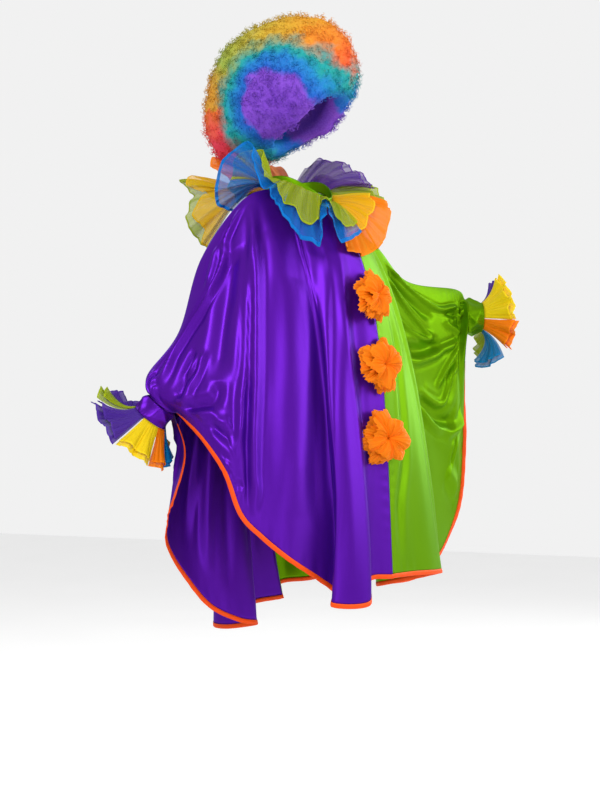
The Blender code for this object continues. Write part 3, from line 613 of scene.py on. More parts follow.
# %% [markdown]
# ## Where the robe is creased
#
# On the purple front two ridges leave the shoulder like the sides of a tent: one runs down the sleeve to the
# wrist, one falls straight to the hem. Between the middle and the side hang long pipe folds, and from the
# gathered wrist drag lines fan out over the cloth. The lime front swags under the lifted arm. The backs,
# which hang more freely, get long falls and the same drag lines.

# %% Crease tables
# Each line is a crease: its width and height in millimetres and how crisp it is, then the points of its
# path, each a thread's number and the share of the way down in thousandths. A trough's height is negative.
CREASES = {
    "robe_front_right": """
        10 13 0.9: 6.92 35, 7.31 83, 7.61 125, 7.75 181, 8.11 229, 8.64 236, 9.5 174, 9.97 174, 10.39 271, 10.72 347
        30 -14 0.1: 7.5 190, 7.69 257, 7.94 333, 8.44 438, 9.08 569
        13 7 0.4: 7.8 90, 8.1 145, 8.4 190
        10 9 0.8: 6.53 62, 6.72 167, 7.03 285, 7.28 396, 7.56 562, 7.85 650, 7.95 710, 8.14 764, 8.5 850
        11 11 0.6: 6.6 150, 6.83 292, 7.06 410, 7.25 542, 7.39 660, 7.5 760, 7.5 850, 7.42 900, 7.5 970
        7 -7 0.5: 7 260, 7.3 440, 7.5 560, 7.75 710, 7.81 850, 7.81 960
        22 -6 0.2: 6.3 160, 6.44 285, 6.53 417, 6.72 569, 6.94 715, 6.89 950
        28 5 0.2: 4.9 350, 5.06 410, 5.5 528, 5.75 646, 5.92 757, 6 900
        24 -5 0.2: 2.6 280, 2.89 347, 3.6 486, 4.5 600, 5.03 771, 5.2 900
        12 3.5 0.4: 1.9 220, 2 312, 2.64 438, 3.2 604, 3.9 740, 4.2 860
        13 -4 0.3: 1.7 260, 2 360, 2.47 458, 2.92 604, 3.06 757, 3.4 900
        18 4 0.3: 1.2 200, 1.33 299, 1.75 417, 2.39 590, 2.53 701, 2.53 833, 2.5 970
        20 -4 0.2: 0.5 250, 0.9 420, 1.2 560, 1.4 720, 1.5 900
        7 10 0.9: 10.61 729, 10.31 646, 9.94 542, 9.58 493, 9.31 444, 9.14 410
        6 7 0.9: 10.72 688, 10.31 569, 9.81 438, 9.44 375
        6 -7 0.4: 10.5 630, 10.1 500, 9.7 430
        12 -9 0.3: 10.56 775, 9.94 700, 9.2 660, 8.9 580
        7 6 0.8: 10.36 792, 9.78 743, 9.25 722
        13 6 0.4: 10.08 785, 9.58 775, 9.03 764, 8.56 736
        14 -7 0.2: 9.6 800, 9.2 830, 8.7 820
        6 4 0.6: 9.15 980, 8.95 955, 8.75 930
        6 -5 0.5: 8.55 975, 8.3 940, 8 910
        10 -9 0.3: 9.4 340, 9.92 417, 10.53 611
        7 7 0.9: 11.7 300, 11.1 270, 10.6 220
        7 6 0.8: 11.7 160, 11.1 130, 10.5 120
        6 6 0.9: 11.7 420, 11.2 370, 10.8 330
        5 -5 0.5: 11.6 240, 11 200, 10.5 170""",
    "robe_back_right": """
        16 9 0.6: 0.9 140, 1.1 500, 1 970
        16 -9 0.3: 1.8 250, 1.9 650, 1.9 970
        13 8 0.7: 2.9 100, 3 400, 2.9 700
        14 7 0.6: 4.3 120, 4.4 500, 4.3 960
        14 8 0.7: 5.5 120, 5.5 500, 5.4 950
        16 -8 0.3: 6.2 220, 6.3 600, 6.2 940
        15 10 0.6: 7.1 50, 7.3 300, 7.2 620, 7.3 940
        12 9 0.8: 8.1 100, 8.6 300, 9.4 340, 10.2 240
        12 9 0.8: 8.3 400, 9.1 500, 9.9 460, 10.7 340
        11 8 0.8: 8.7 620, 9.5 680, 10.3 600, 11 480
        13 -8 0.3: 8.2 260, 8.9 410, 9.8 400
        13 -8 0.3: 8.5 530, 9.3 600, 10.1 540
        10 6 0.7: 11.3 750, 10.4 800, 9.6 880""",
    "robe_front_left": """
        8 12 0.9: 7.56 83, 8.03 83, 8.53 83, 8.89 104, 9.17 139, 9.42 174, 9.64 188, 9.97 181, 10.28 181
        17 -12 0.2: 7.7 120, 8.2 145, 8.8 175, 9.3 235
        6 10 0.9: 7.64 167, 7.78 188, 8.14 215, 8.53 243, 8.81 271, 9 299, 9.19 319
        6 10 0.9: 7.83 299, 8.03 312, 8.39 319, 8.75 326, 9.06 326, 9.19 319
        15 -14 0.2: 8.11 390, 8.53 375, 9 360, 9.39 345
        8 13 0.9: 7.9 430, 8.28 424, 8.75 403, 9.17 389, 9.5 375, 9.81 375, 10.25 375
        6 10 0.9: 9.69 250, 9.78 278, 9.97 299, 10.6 360
        4 6 0.9: 10.28 188, 10.42 222, 10.9 330
        10 -10 0.3: 9.75 205, 10 225, 10.25 243
        6 8 0.9: 10.6 400, 9.97 424, 9.58 451, 9.28 486, 9.06 507
        7 -7 0.3: 10.2 455, 9.75 470, 9.45 505
        7 10 0.9: 10.31 486, 9.86 486, 9.69 507, 9.58 528, 9.28 562, 9.06 562, 8.86 549, 8.58 528, 8.36 507
        9 14 0.8: 8 540, 8.22 569, 8.53 604, 8.86 632, 9.17 653, 9.5 681, 9.86 708, 10.53 771, 10.89 819
        18 -13 0.2: 8.3 530, 8.53 556, 8.92 597, 9.36 639, 9.81 660
        7 -7 0.4: 10.08 757, 9.75 771, 9.42 799
        16 7 0.3: 9.2 790, 9.5 854, 9.81 924
        12 -5 0.3: 1.33 389, 1.36 514, 1.19 576, 1.06 667, 0.92 750, 0.5 840, 0.4 960
        10 5 0.6: 2.6 180, 2.7 450, 2.9 700, 2.9 960
        14 -8 0.4: 5 120, 5 500, 5 970
        16 9 0.7: 6.2 120, 6.3 500, 6.3 970
        16 -6 0.4: 7.1 150, 7.2 550, 7.1 950
        6 -6 0.5: 11.6 180, 11.1 160, 10.7 170
        5 6 0.8: 11.5 260, 11 250, 10.5 250""",
    "robe_back_left": """
        18 10 0.7: 1 150, 1.1 550, 1 960
        17 -10 0.4: 2 150, 2.1 550, 2 960
        15 9 0.7: 2.9 100, 2.9 500, 3 960
        17 -9 0.4: 4.3 120, 4.2 500, 4.3 960
        16 10 0.7: 5.2 120, 5.3 550, 5.2 960
        18 -9 0.4: 6.3 120, 6.3 550, 6.3 960
        17 9 0.7: 7.2 100, 7.3 550, 7.2 960
        11 10 0.8: 8 30, 8.5 200, 9.1 260, 9.9 200
        12 10 0.8: 8.1 300, 8.7 420, 9.5 440, 10.3 340
        12 9 0.8: 8.2 500, 8.9 620, 9.8 600, 10.5 460
        14 -8 0.3: 8.3 200, 8.9 340, 9.8 330
        14 -8 0.3: 8.5 500, 9.3 530, 10.1 460
        7 7 0.9: 11.3 160, 10.7 160, 10.1 150
        8 8 0.9: 11.3 360, 10.8 400, 10.4 520""",
}


def creases_in(text):
    for line in text.strip().split("\n"):
        shape, path = line.split(":")
        width, height, crisp = map(float, shape.split())
        yield Crease(rows_of(path, 1, 1000), width / MM, height / MM, crisp)


CREASES = {name: list(creases_in(text)) for name, text in CREASES.items()}
print("creases:", {name: len(creases) for name, creases in CREASES.items()})

# %% [markdown]
# ## Sewing the robe
#
# The creases, the slow ripples and the puckers move each point of a panel along its normal. Close to a seam
# the cloth is held, so the movement dies out there and neighbouring panels still meet. Beside the bound
# edges and the shoulder seam the stitching has drawn the satin up into small gathers.

# %% Build the four panels
SATIN_WALL = 0.0012
SEAM_GAP = 0.0003
SEAM_CALM = 0.012  # how far from a seam the cloth lies flat
WRIST_CALM = 0.02
RIPPLE_SHARE = {"front": 0.22, "back": 0.9}
SLEEVE_PUCKER = {"right": 0.0030, "left": 0.0016}
CUT_LENGTH = 1.06  # how long each panel's cloth was cut; the width follows from its area


def sewn_panel(name):
    panel, points = PANELS[name], SURFACE[name]
    normal = grid_normal(points) * panel.outward
    u, v = metres(points)
    thread = np.linalg.norm(np.diff(points, axis=1), axis=2)
    fallen = np.concatenate([np.zeros((len(points), 1)), np.cumsum(thread, axis=1)], axis=1)
    to_hem = fallen[:, -1:] - fallen
    held = smoothstep(fallen / (SEAM_CALM * 2)) * smoothstep(u / SEAM_CALM)
    wrist = smoothstep((u[-1, 0] - u) / WRIST_CALM)
    height = crease_heights(points, CREASES[name], panel.per_fold)
    height += ripples(points, len(name)) * RIPPLE_SHARE[panel.face]
    fold = (np.arange(len(points)) / panel.per_fold)[:, None]  # the sleeve's gathers lie between 7 and 11.6
    sleeve = smoothstep((fold - 7.0) / 1.0) * smoothstep((11.6 - fold) / 0.8)
    height += puckers(fallen, u, SLEEVE_PUCKER[panel.side], 0.015, 0.026) * sleeve
    height += puckers(to_hem, u, 0.0010, 0.021, 0.026) * smoothstep(to_hem / 0.009)
    height += puckers(u, v, 0.0011, 0.022, 0.016) * smoothstep(v / 0.05)
    moved = points + normal * (height * held * wrist)[..., None]
    moved[0] += unit(points[1, :] - points[0, :]) * SEAM_GAP / 2
    moved[:, 0] += unit(points[:, 1] - points[:, 0]) * SEAM_GAP / 2
    return moved


ROBE = {name: sewn_panel(name) for name in PANELS}
for name, panel in PANELS.items():
    piece = sheet_piece(name.replace("robe", "panel"), [ROBE[name]], SATIN_WALL, SATIN[panel.side])
    sewn(piece, SATIN_SLOT[panel.side], [name], grid_area(SURFACE[name]), CUT_LENGTH)
    print(piece.name, len(piece.data.polygons), "faces")

# %% [markdown]
# ## The edge tape
#
# One tape binds the front from wrist to wrist and one binds the back. It is folded over the raw edge, so we
# sweep a flat closed loop along the hem: round at its outer fold, and open by the cloth's thickness inside.

# %% Bind the edges
TAPE_LIFT = 0.0011
TAPE_WALL = 0.0005
TAPE_LENGTH = 2.1
TAPE_STOP = 4  # how many columns before the wrist the tape ends
# Half of the loop, from the stitches to the outer fold: how far past the hem, and the lift in TAPE_LIFTs.
TAPE_SECTION = ((-0.001, 1.0), (0.003, 1.25), (0.0075, 1.2), (0.0092, 0.55), (0.0097, 0.0))
TAPE_LOOP = TAPE_SECTION + tuple((reach, -lift) for reach, lift in TAPE_SECTION[-2::-1])


def bound_edge(right, left, flare):
    """A folded tape along the hems of two panels, outside its fold and over both faces of the cloth.

    flare is how far, in degrees, the stiff tape turns outwards beside the left wrist.
    """
    normals = {panel: grid_normal(ROBE[panel]) * PANELS[panel].outward for panel in (right, left)}
    points, normal = (
        np.concatenate([grids[right][:-TAPE_STOP][::-1], grids[left][1:-TAPE_STOP]]) for grids in (ROBE, normals)
    )
    edge, inside, normal = points[:, -1], points[:, -3], normal[:, -1]
    tangent = unit(np.gradient(edge, axis=0))
    outward = unit(np.cross(normal, tangent))
    outward *= np.sign(np.sum(outward * (edge - inside), axis=1, keepdims=True))
    thread = (np.arange(len(edge)) - (len(ROBE[right]) - TAPE_STOP) + 1) / PANELS[left].per_fold
    turned = np.radians(flare * smoothstep((thread - 8.8) / 1.6) * smoothstep((11.5 - thread) / 0.6))[:, None]
    cos, sin = np.cos(turned), np.sin(turned)
    outward, normal = outward * cos + normal * sin, normal * cos - outward * sin
    along = np.concatenate([[0.0], np.cumsum(np.linalg.norm(np.diff(edge, axis=0), axis=1))])
    gather = 0.0002 * np.sin(along * 2 * math.pi / 0.011 + 1.5 * np.sin(along * 40.0))
    grid = []
    for reach, lift in TAPE_LOOP:
        puff = gather * (1 if 0.002 < reach < 0.010 else 0)
        grid.append(edge + outward * reach + normal * (lift * TAPE_LIFT + np.sign(lift) * puff)[:, None])
    return np.stack(grid, axis=1)


for face, flare in (("front", 58.0), ("back", 0.0)):
    right, left = f"robe_{face}_right", f"robe_{face}_left"
    grid = bound_edge(right, left, flare)
    piece = sheet_piece(f"tape_{face}", [grid], TAPE_WALL, ORANGE_TAPE)
    sewn(piece, "orange_tape", [f"binding_{face}"], grid_area(grid), TAPE_LENGTH)
    print(piece.name, len(piece.data.polygons), "faces")

# %% [markdown]
# ## The ruff
#
# The ruff is long petals of tulle gathered onto a narrow collar band. Each petal leaves the band almost
# level, arches, and falls to its edge. At the root it is packed into fine gathers; these open into a few
# long folds, and the edge keeps a slight flutter. Five of the six petals carry a second, shorter layer of
# tulle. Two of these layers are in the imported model, and three are added here, at the back and the left.

# %% Ruff tables
# A ruff sector: its tulle, its root's height on the collar band, how its root tilts up in degrees, and
# its threads, each with the turn of its root in degrees and where its edge lies in millimetres.
RUFF = {
    "ruff_blue_side": ("blue", 0.01, 12, """
        4 -27 -194 -110, 13 -89 -175 -140, 24 -112 -146 -54, 38 -150 -150 -147, 53 -170 -106 -126, 66 -177 -63 -69,
        79 -164 -25 -23, 90 -154 16 13, 100 -129 53 109, 111 -135 125 66, 121 -127 150 1, 131 -112 154 -38,
        140 -81 130 -53"""),
    "ruff_orange_front": ("orange", 0.006, 0, """
        2 -68 -172 -145, -8 -6 -180 -165, -18 50 -196 -146, -28 104 -189 -111, -40 154 -177 -44, -52 181 -143 -21"""),
    "ruff_lime_far": ("lime", 0.006, 0, """
        -54 188 -145 -40, -66 216 -125 -14, -78 230 -98 15, -90 234 -65 32, -102 225 -30 26, -114 205 15 49,
        -124 180 58 24"""),
    "ruff_purple_far": ("purple", 0.014, 34, """
        -57 172 -118 9, -66 183 -106 25, -77 184 -78 51, -88 179 -50 70, -100 175 -33 83, -112 156 10 88,
        -124 133 40 73"""),
    "ruff_lime_back": ("lime", 0.004, -8, """
        145 -10 247 -131, 151 -20 275 -106, 159 -28 299 -51, 167 -14 285 -2, 175 -22 318 36, 185 10 292 26,
        197 47 259 2, 210 88 218 19, 223 126 171 40, 234 144 130 19"""),
    "ruff_orange_back": ("orange", 0.011, 26, """
        146 -37 135 4, 154 -33 177 40, 164 -23 230 68, 174 1 239 88, 186 32 224 83, 200 67 193 75, 216 96 164 86,
        234 127 120 72"""),
}
# A second layer: its tulle, the sector under it, how much of the length it covers, its lift at the edge,
# and how unevenly it is cut.
RUFF_OVER = {
    "ruff_lime_side": ("lime", "ruff_blue_side", 0.75, 0.009, 0.13),
    "ruff_yellow_front": ("yellow", "ruff_orange_front", 0.66, 0.010, 0.12),
    "ruff_yellow_over": ("yellow", "ruff_lime_back", 0.86, 0.012, 0.14),
    "ruff_purple_over": ("purple", "ruff_purple_far", 0.84, 0.007, 0.12),
    "ruff_lime_over": ("lime", "ruff_lime_far", 0.82, 0.007, 0.12),
}
print("ruff petals:", len(RUFF), "and", len(RUFF_OVER), "over them")

# %% Shape and gather a petal
ROOT_OFF_BAND = 0.0016
RUFF_ARCH = 0.10
PER_WAVE = 16  # how many columns of points lie between two threads of a petal
PETAL_ROWS = 26
FOLD_SPACING = 0.064  # how much of a petal's edge one long fold takes
FOLD_HEIGHT = 0.0070
GATHER_HEIGHT = 0.0012
FLUTTER_HEIGHT = 0.0009


def neckline(turn):
    """A point of the neckline. turn is in degrees from the middle front towards the wearer's right."""
    angle = math.radians(turn)
    return neck_point(angle, "front" if math.cos(angle) > 0 else "back") * (-1, 1, 1)


def outward_at(turn):
    angle = math.radians(turn)
    return np.array([-math.sin(angle), -math.cos(angle), 0.0])


def ruff_surface(lift, root_tilt, waves, share=1.0, start=0.0, uneven=0.0):
    """A petal's middle surface, without its gathers. Crisp tulle bends in facets, so half of it is straight."""
    waves = rows_of(waves, 1, MM, MM, MM)
    at = np.linspace(0, len(waves) - 1, (len(waves) - 1) * PER_WAVE + 1)
    straight = np.stack([np.interp(at, np.arange(len(waves)), column) for column in zip(*waves)], axis=1)
    keys = through(waves, at) * 0.5 + straight * 0.5
    turns, edges = keys[:, 0], keys[:, 1:]
    outwards = np.array([outward_at(turn) for turn in turns])
    roots = np.array([neckline(turn) for turn in turns]) + outwards * ROOT_OFF_BAND
    roots[:, 2] += lift
    spans = edges - roots
    lengths = np.linalg.norm(spans, axis=1, keepdims=True)
    tilt = math.radians(root_tilt)
    leave = outwards * math.cos(tilt) + np.array([0, 0, math.sin(tilt)])
    leads = roots + leave * lengths * 0.35
    nears = edges - spans * 0.33 + np.array([0, 0, RUFF_ARCH]) * lengths
    reach = share * (1 + uneven * np.sin(at * 2.6 + 1.0) * np.cos(at * 1.1))
    along = start + (reach - start)[:, None, None] * np.linspace(0, 1, PETAL_ROWS + 1)[None, :, None]
    return bezier(along, (roots, leads, nears, edges))


def gathered(points, seed):
    """Adds gathers that are fine and deep at the root, and long soft folds that reach the edge."""
    rng = np.random.default_rng(seed)
    columns, rows = points.shape[:2]
    normal = grid_normal(points)
    across = np.linspace(0, 1, columns)[:, None]
    down = np.linspace(0, 1, rows)[None]
    folds = np.linalg.norm(np.diff(points[:, -1], axis=0), axis=1).sum() / FOLD_SPACING
    total = np.zeros((columns, rows))
    for share, strength in ((1.0, 1.0), (1.7, 0.7), (2.9, 0.25)):
        start, drift = rng.uniform(0, 6.3), rng.uniform(-0.5, 0.5)
        phase = across * folds * share * 2 * math.pi + start + drift * down * 6
        uneven = 0.6 + 0.4 * np.sin(across * folds * share * 1.7 + start * 2)
        facet = np.arcsin(0.96 * np.sin(phase + 0.5 * np.sin(phase))) / 1.3
        total += facet * strength * uneven * FOLD_HEIGHT * smoothstep(down * 1.3)
    gathers = np.sin(across * folds * 8.5 * 2 * math.pi + 1.4 * np.sin(across * 60))
    total += gathers * GATHER_HEIGHT * smoothstep(down / 0.08) * np.exp(-((down / 0.22) ** 2))
    flutter = np.sin(across * folds * 2.3 * 2 * math.pi + 2.0 * np.sin(across * 23))
    total += flutter * FLUTTER_HEIGHT * smoothstep((down - 0.6) / 0.4)
    return points + normal * (total * smoothstep(down / 0.05))[..., None]


print("petal helpers ready")

# %% Make the collar and the petals
COLLAR_HEIGHT = 0.026
COLLAR_ROWS = 8
COLLAR_LENGTH = 0.53
TULLE_WALL = 0.0006
PETAL_LENGTH, OVER_LENGTH = 0.17, 0.14


def petal(name, colour, nodes, surface, cut, length):
    """Makes a petal from its gathered surface. cut is the surface whose area its cloth has."""
    piece = sheet_piece(name.replace("ruff", "petal"), [surface], TULLE_WALL, TULLE[colour], from_edge=True)
    sewn(piece, f"{colour}_tulle", nodes, grid_area(cut), length)
    print(piece.name, round(grid_area(cut), 3), "m2")


turns = np.arange(0, 361, 4)
heights = 0.0009 + np.linspace(0, COLLAR_HEIGHT, COLLAR_ROWS)
band = np.array([neckline(turn) for turn in turns])[:, None] + np.array([0, 0, 1.0]) * heights[None, :, None]
pinch = 0.0007 * np.sin(np.radians(turns) * 45)[:, None] * np.sin(np.linspace(0, math.pi, COLLAR_ROWS))[None]
band = band + np.array([outward_at(turn) for turn in turns])[:, None] * pinch[..., None]
piece = sheet_piece("collar", [band[::-1]], SATIN_WALL, SATIN["left"], closed=True)
sewn(piece, SATIN_SLOT["left"], ["collar_band"], grid_area(band), COLLAR_LENGTH)

for number, (name, (colour, lift, root_tilt, waves)) in enumerate(RUFF.items()):
    surface = ruff_surface(lift, root_tilt, waves)
    petal(name, colour, [name], gathered(surface, number), surface, PETAL_LENGTH)
for name, (colour, under, share, edge_lift, uneven) in RUFF_OVER.items():
    surface = ruff_surface(*RUFF[under][1:], share=share, start=0.008, uneven=uneven)
    normal = grid_normal(surface)
    normal *= np.sign(normal[:, 4, 2].mean())
    lifts = np.linspace(0.0016, edge_lift, surface.shape[1])[None, :, None]
    surface = gathered(surface, list(RUFF).index(under)) + normal * lifts
    petal(name, colour, [] if name.endswith("_over") else [name], surface, surface, OVER_LENGTH)

# %% [markdown]
# ## Wrists
#
# A satin tube closes each sleeve end. Its cloth is crushed: folds slant round it like the stripes of a
# barber's pole, with facets between them. The frill is made of fans of tulle, folded flat into accordion
# pleats and then pulled open by the hand, so each pleat is a long thin wedge and the edge climbs in steps.

# %% Frill tables
# A fan: its tulle, the turns where it starts and ends round the wrist, how far its pleats lean there from
# square to the forearm towards the hand, all in degrees, and its length in metres.
Fan = namedtuple("Fan", "colour start end start_lean end_lean length")
FRILLS = {
    "right": [
        Fan("lime", -48, -10, 12, 14, 0.096), Fan("purple", -8, 48, 20, 44, 0.106),
        Fan("yellow", 50, 104, 50, 50, 0.096), Fan("orange", 106, 142, 50, 50, 0.097),
        Fan("blue", 144, 190, 52, 46, 0.092), Fan("yellow", 192, 250, 42, 24, 0.095),
        Fan("purple", 252, 310, 18, 12, 0.095),
    ],
    "left": [
        Fan("purple", -50, -2, 38, 32, 0.074), Fan("yellow", 0, 96, 29, 60, 0.086),
        Fan("orange", 98, 150, 58, 42, 0.092), Fan("blue", 152, 204, 24, -10, 0.096),
        Fan("lime", 206, 256, -2, 12, 0.084), Fan("orange", 258, 308, 18, 34, 0.078),
    ],
}


print("fans:", {side: len(fans) for side, fans in FRILLS.items()})

# %% Crushed bands
CUFF_LENGTH = 0.044


def cuff_point(cuff, turn, forward, radius):
    """A point round the wrist and its spoke: turn is in degrees from its top, passing the front at 90."""
    angle = math.radians(turn)
    spoke = math.cos(angle) * cuff.up + math.sin(angle) * cuff.front
    return cuff.middle + cuff.along * forward + spoke * radius, spoke


def crushed_band(cuff, columns=108, rows=22):
    """A crushed satin tube, from the sleeve end to the root of the frill."""
    grid = np.zeros((columns + 1, rows, 3))
    for column, turn in enumerate(np.linspace(0, 360, columns + 1)):
        angle = math.radians(turn)
        for row, forward in enumerate(np.linspace(cuff.stand_off, CUFF_LENGTH, rows)):
            share = forward / CUFF_LENGTH
            mid = math.sin(math.pi * share)
            radius = cuff.start_radius + (cuff.end_radius - cuff.start_radius) * share + 0.004 * mid
            main = 1 - 2 * abs(math.sin(1.5 * angle + 1.3 * share + 0.5 * math.sin(2 * angle)))
            crossing = 1 - 2 * abs(math.sin(2.0 * angle - 2.4 * share + 1.0 + 0.6 * math.sin(3 * angle)))
            small = math.cos(9 * angle + 5.0 * share + 1.5 * math.sin(5 * angle))
            radius += (0.0040 * main + 0.0036 * crossing + 0.0006 * small) * mid ** 0.6
            radius += 0.0010 * math.cos(34 * angle) * (1 - mid) ** 2
            grid[column, row] = cuff_point(cuff, turn, forward, radius)[0]
    return grid


print("cuff helpers ready")

# %% Pleated fans
PLEAT = 0.0155
OVER_PLEAT = 0.0125
PLEAT_COLUMNS = 6  # how many columns of points make one pleat


def pleated_fan(cuff, fan, number, pleat=PLEAT, rows=13):
    """One layer of a fan. Each pleat has a steep side and a flat side, so that its edge makes a step."""
    edge_radius = cuff.end_radius + fan.length * 0.75
    pleats = max(4, round(math.radians(fan.end - fan.start) * edge_radius / pleat))
    columns = pleats * PLEAT_COLUMNS + 1
    share = np.linspace(0, 1, rows + 1)
    swing = share**1.2 * (2.0 - share) ** 0.5
    beat = np.arange(columns) / PLEAT_COLUMNS
    saw = np.where(beat % 1 < 0.67, (beat % 1) / 0.67, (1 - beat % 1) / 0.33) * 2 - 1
    facets = np.linspace(0, max(1, round((fan.end - fan.start) / 27.0)), columns)
    lean = np.linspace(fan.start_lean, fan.end_lean, columns) + 6.0 * (np.abs(facets % 1 - 0.5) * 4 - 1)
    tilt = np.radians(55.0 + (lean[:, None] - 55.0) * swing[None])
    step = np.random.default_rng(number).uniform(-1, 1, pleats + 1)[np.minimum(beat.astype(int), pleats)]
    lengths = fan.length * (0.985 + 0.010 * step + 0.022 * np.sin(np.arange(columns) * 0.16 + number))
    reach = lengths[:, None] * share[None]
    points = np.zeros((columns, rows + 1, 3))
    for column, turn in enumerate(np.linspace(fan.start, fan.end, columns)):
        root, spoke = cuff_point(cuff, turn, CUFF_LENGTH + 0.0006, cuff.end_radius)
        out = spoke[None] * np.cos(tilt[column])[:, None] + cuff.along[None] * np.sin(tilt[column])[:, None]
        points[column] = root + out * reach[column][:, None]
    depth = 0.0003 + 0.0008 * share
    return points + grid_normal(points) * (saw[:, None] * depth[None] * smoothstep(share / 0.06)[None])[..., None]


def layered_fan(cuff, fan, number):
    """A fan and its shorter second layer just outside it."""
    under = pleated_fan(cuff, fan, number)
    shorter = fan._replace(start=fan.start + 2, end=fan.end - 3, length=fan.length * 0.88)
    over = pleated_fan(cuff, shorter, number + 50, OVER_PLEAT)
    normal = grid_normal(over)
    toward_body = np.sign(np.sum(normal[:, -1] * -cuff.along, axis=1).mean())
    lift = 0.0012 + 0.005 * np.linspace(0, 1, over.shape[1])
    return [under, over + normal * toward_body * lift[None, :, None]]


print("fan helpers ready")

# %% Make the cuffs and the frills
CUFF_WALL = 0.0010
CUFF_CUT = 0.20  # the length that a cuff's cloth was cut to
FAN_WALL = 0.0005

for side, cuff in WRISTS.items():
    grid = crushed_band(cuff)
    piece = sheet_piece(f"crushed_band_{side}", [grid], CUFF_WALL, SATIN[side], closed=True)
    sewn(piece, SATIN_SLOT[side], [f"cuff_band_{side}"], grid_area(grid), CUFF_CUT)
    for number, fan in enumerate(FRILLS[side]):
        grids = layered_fan(cuff, fan, number)
        name = f"{side}_{number + 1}_{fan.colour}"
        piece = sheet_piece(f"fan_{name}", grids, FAN_WALL, FAN_TULLE[fan.colour], from_edge=True)
        area = sum(map(grid_area, grids))
        sewn(piece, f"{fan.colour}_tulle", [f"frill_{name}"], area, fan.length * 2)
    print(side, "frill:", len(FRILLS[side]), "fans")

# %% [markdown]
# ## Pompoms
#
# A pompom is three rings of pleated tulle gathered to one knot. The lowest ring droops at its rim, and each
# ring above it is smaller and stands higher, so that together they make a dome of crisp zigzag edges.

# %% Rings of pleated tulle
# name, height, radius, and how many degrees it is turned away from the way the cloth faces
POMPOMS = [("top", -0.266, 0.054, 14), ("middle", -0.424, 0.056, 6), ("bottom", -0.594, 0.057, -3)]
POMPOM_COLUMN = 4  # the column of the purple front that the pompoms are sewn along
# Each ring's section as reach and height, in shares of the radius, and its number of pleats.
POMPOM_RINGS = [
    ([(0.04, 0.44), (0.45, 0.50), (0.80, 0.42), (1.05, 0.24)], 42),
    ([(0.04, 0.54), (0.40, 0.64), (0.78, 0.60), (1.02, 0.44)], 38),
    ([(0.03, 0.60), (0.26, 0.78), (0.58, 0.82), (0.86, 0.68)], 30),
]


def pompom_frame(height, turned):
    """Where a pompom is sewn beside the middle front seam, and the way it faces."""
    points = SURFACE["robe_front_right"]
    order = np.argsort(points[POMPOM_COLUMN, :, 2])
    line, facing = (grid[POMPOM_COLUMN][order] for grid in (points, grid_normal(points)))
    base, normal = (
        np.array([np.interp(height, line[:, 2], rows[:, axis]) for axis in range(3)]) for rows in (line, facing)
    )
    normal = unit(normal)
    cos, sin = math.cos(math.radians(turned)), math.sin(math.radians(turned))
    axis = np.array([[cos, -sin, 0], [sin, cos, 0], [0, 0, 1]]) @ normal
    side = unit(np.cross([0, 0, 1.0], axis))
    return base + normal * 0.0011, axis, side, np.cross(axis, side)


def rosette(base, axis, side, upward, radius, profile, pleats, seed, rows=11):
    """A ring of pleated tulle round an axis. profile holds reach and height, as shares of the radius."""
    rng = np.random.default_rng(seed)
    section = through(profile, np.linspace(0, len(profile) - 1, rows))
    start = rng.uniform(0, 2 * math.pi, 6)
    cut, depth = rng.uniform(-0.07, 0.06, pleats), rng.uniform(0.5, 1.2, pleats)
    grid = np.zeros((pleats * PLEAT_COLUMNS + 1, rows, 3))
    for column in range(len(grid)):
        pleat, part = (column // PLEAT_COLUMNS) % pleats, (column % PLEAT_COLUMNS) / PLEAT_COLUMNS
        angle = 2 * math.pi * column / (len(grid) - 1)
        swell = 0.09 * math.sin(3 * angle + start[0]) + 0.10 * math.sin(5 * angle + start[1])
        swell += 0.05 * math.sin(9 * angle + start[2]) + cut[pleat] * math.sin(math.pi * part)
        wave = 0.10 * math.sin(4 * angle + start[3]) + 0.08 * math.sin(7 * angle + start[4])
        zigzag = (1 - 4 * abs(part - 0.5)) * depth[pleat]
        for row, (reach, lift) in enumerate(section):
            open_out = min(1.0, reach / 0.6)
            twist = angle + 0.05 * math.sin(6 * angle + start[5]) * reach
            spoke = side * math.cos(twist) + upward * math.sin(twist)
            out = spoke * reach * (1 + (swell - 0.03 * zigzag) * open_out)
            grid[column, row] = base + (out + axis * (lift + (wave + 0.042 * zigzag) * open_out)) * radius
    return grid


print("pompom rings:", [pleats for _, pleats in POMPOM_RINGS], "pleats")

# %% Make the pompoms
POMPOM_WALL = 0.0004
POMPOM_CUT = 0.07  # how wide the strip of tulle was cut

for number, (name, height, radius, turned) in enumerate(POMPOMS):
    place = pompom_frame(height, turned)
    grids = [
        rosette(*place, radius, profile, pleats, number * 9 + ring)
        for ring, (profile, pleats) in enumerate(POMPOM_RINGS)
    ]
    piece = sheet_piece(f"rosette_{name}", grids, POMPOM_WALL, POMPOM_TULLE, from_edge=True)
    area = sum(map(grid_area, grids))
    sewn(piece, "orange_tulle", [f"pompom_{name}"], area, POMPOM_CUT)
    print(piece.name, len(piece.data.polygons), "faces")

# %% [markdown]
# ## The wig
#
# Thousands of thin springy curls stand on a cap. The cap has the shape of the hair mass a little below its
# surface, so that between the curls one sees more hair and not the inside. A curl is a helix with three
# sides. Copies of three curls are turned, scaled and joined into two meshes. The colours aren't in the
# meshes: the finish works them out from the place, violet over the ear, then a blue ring, then a rainbow.

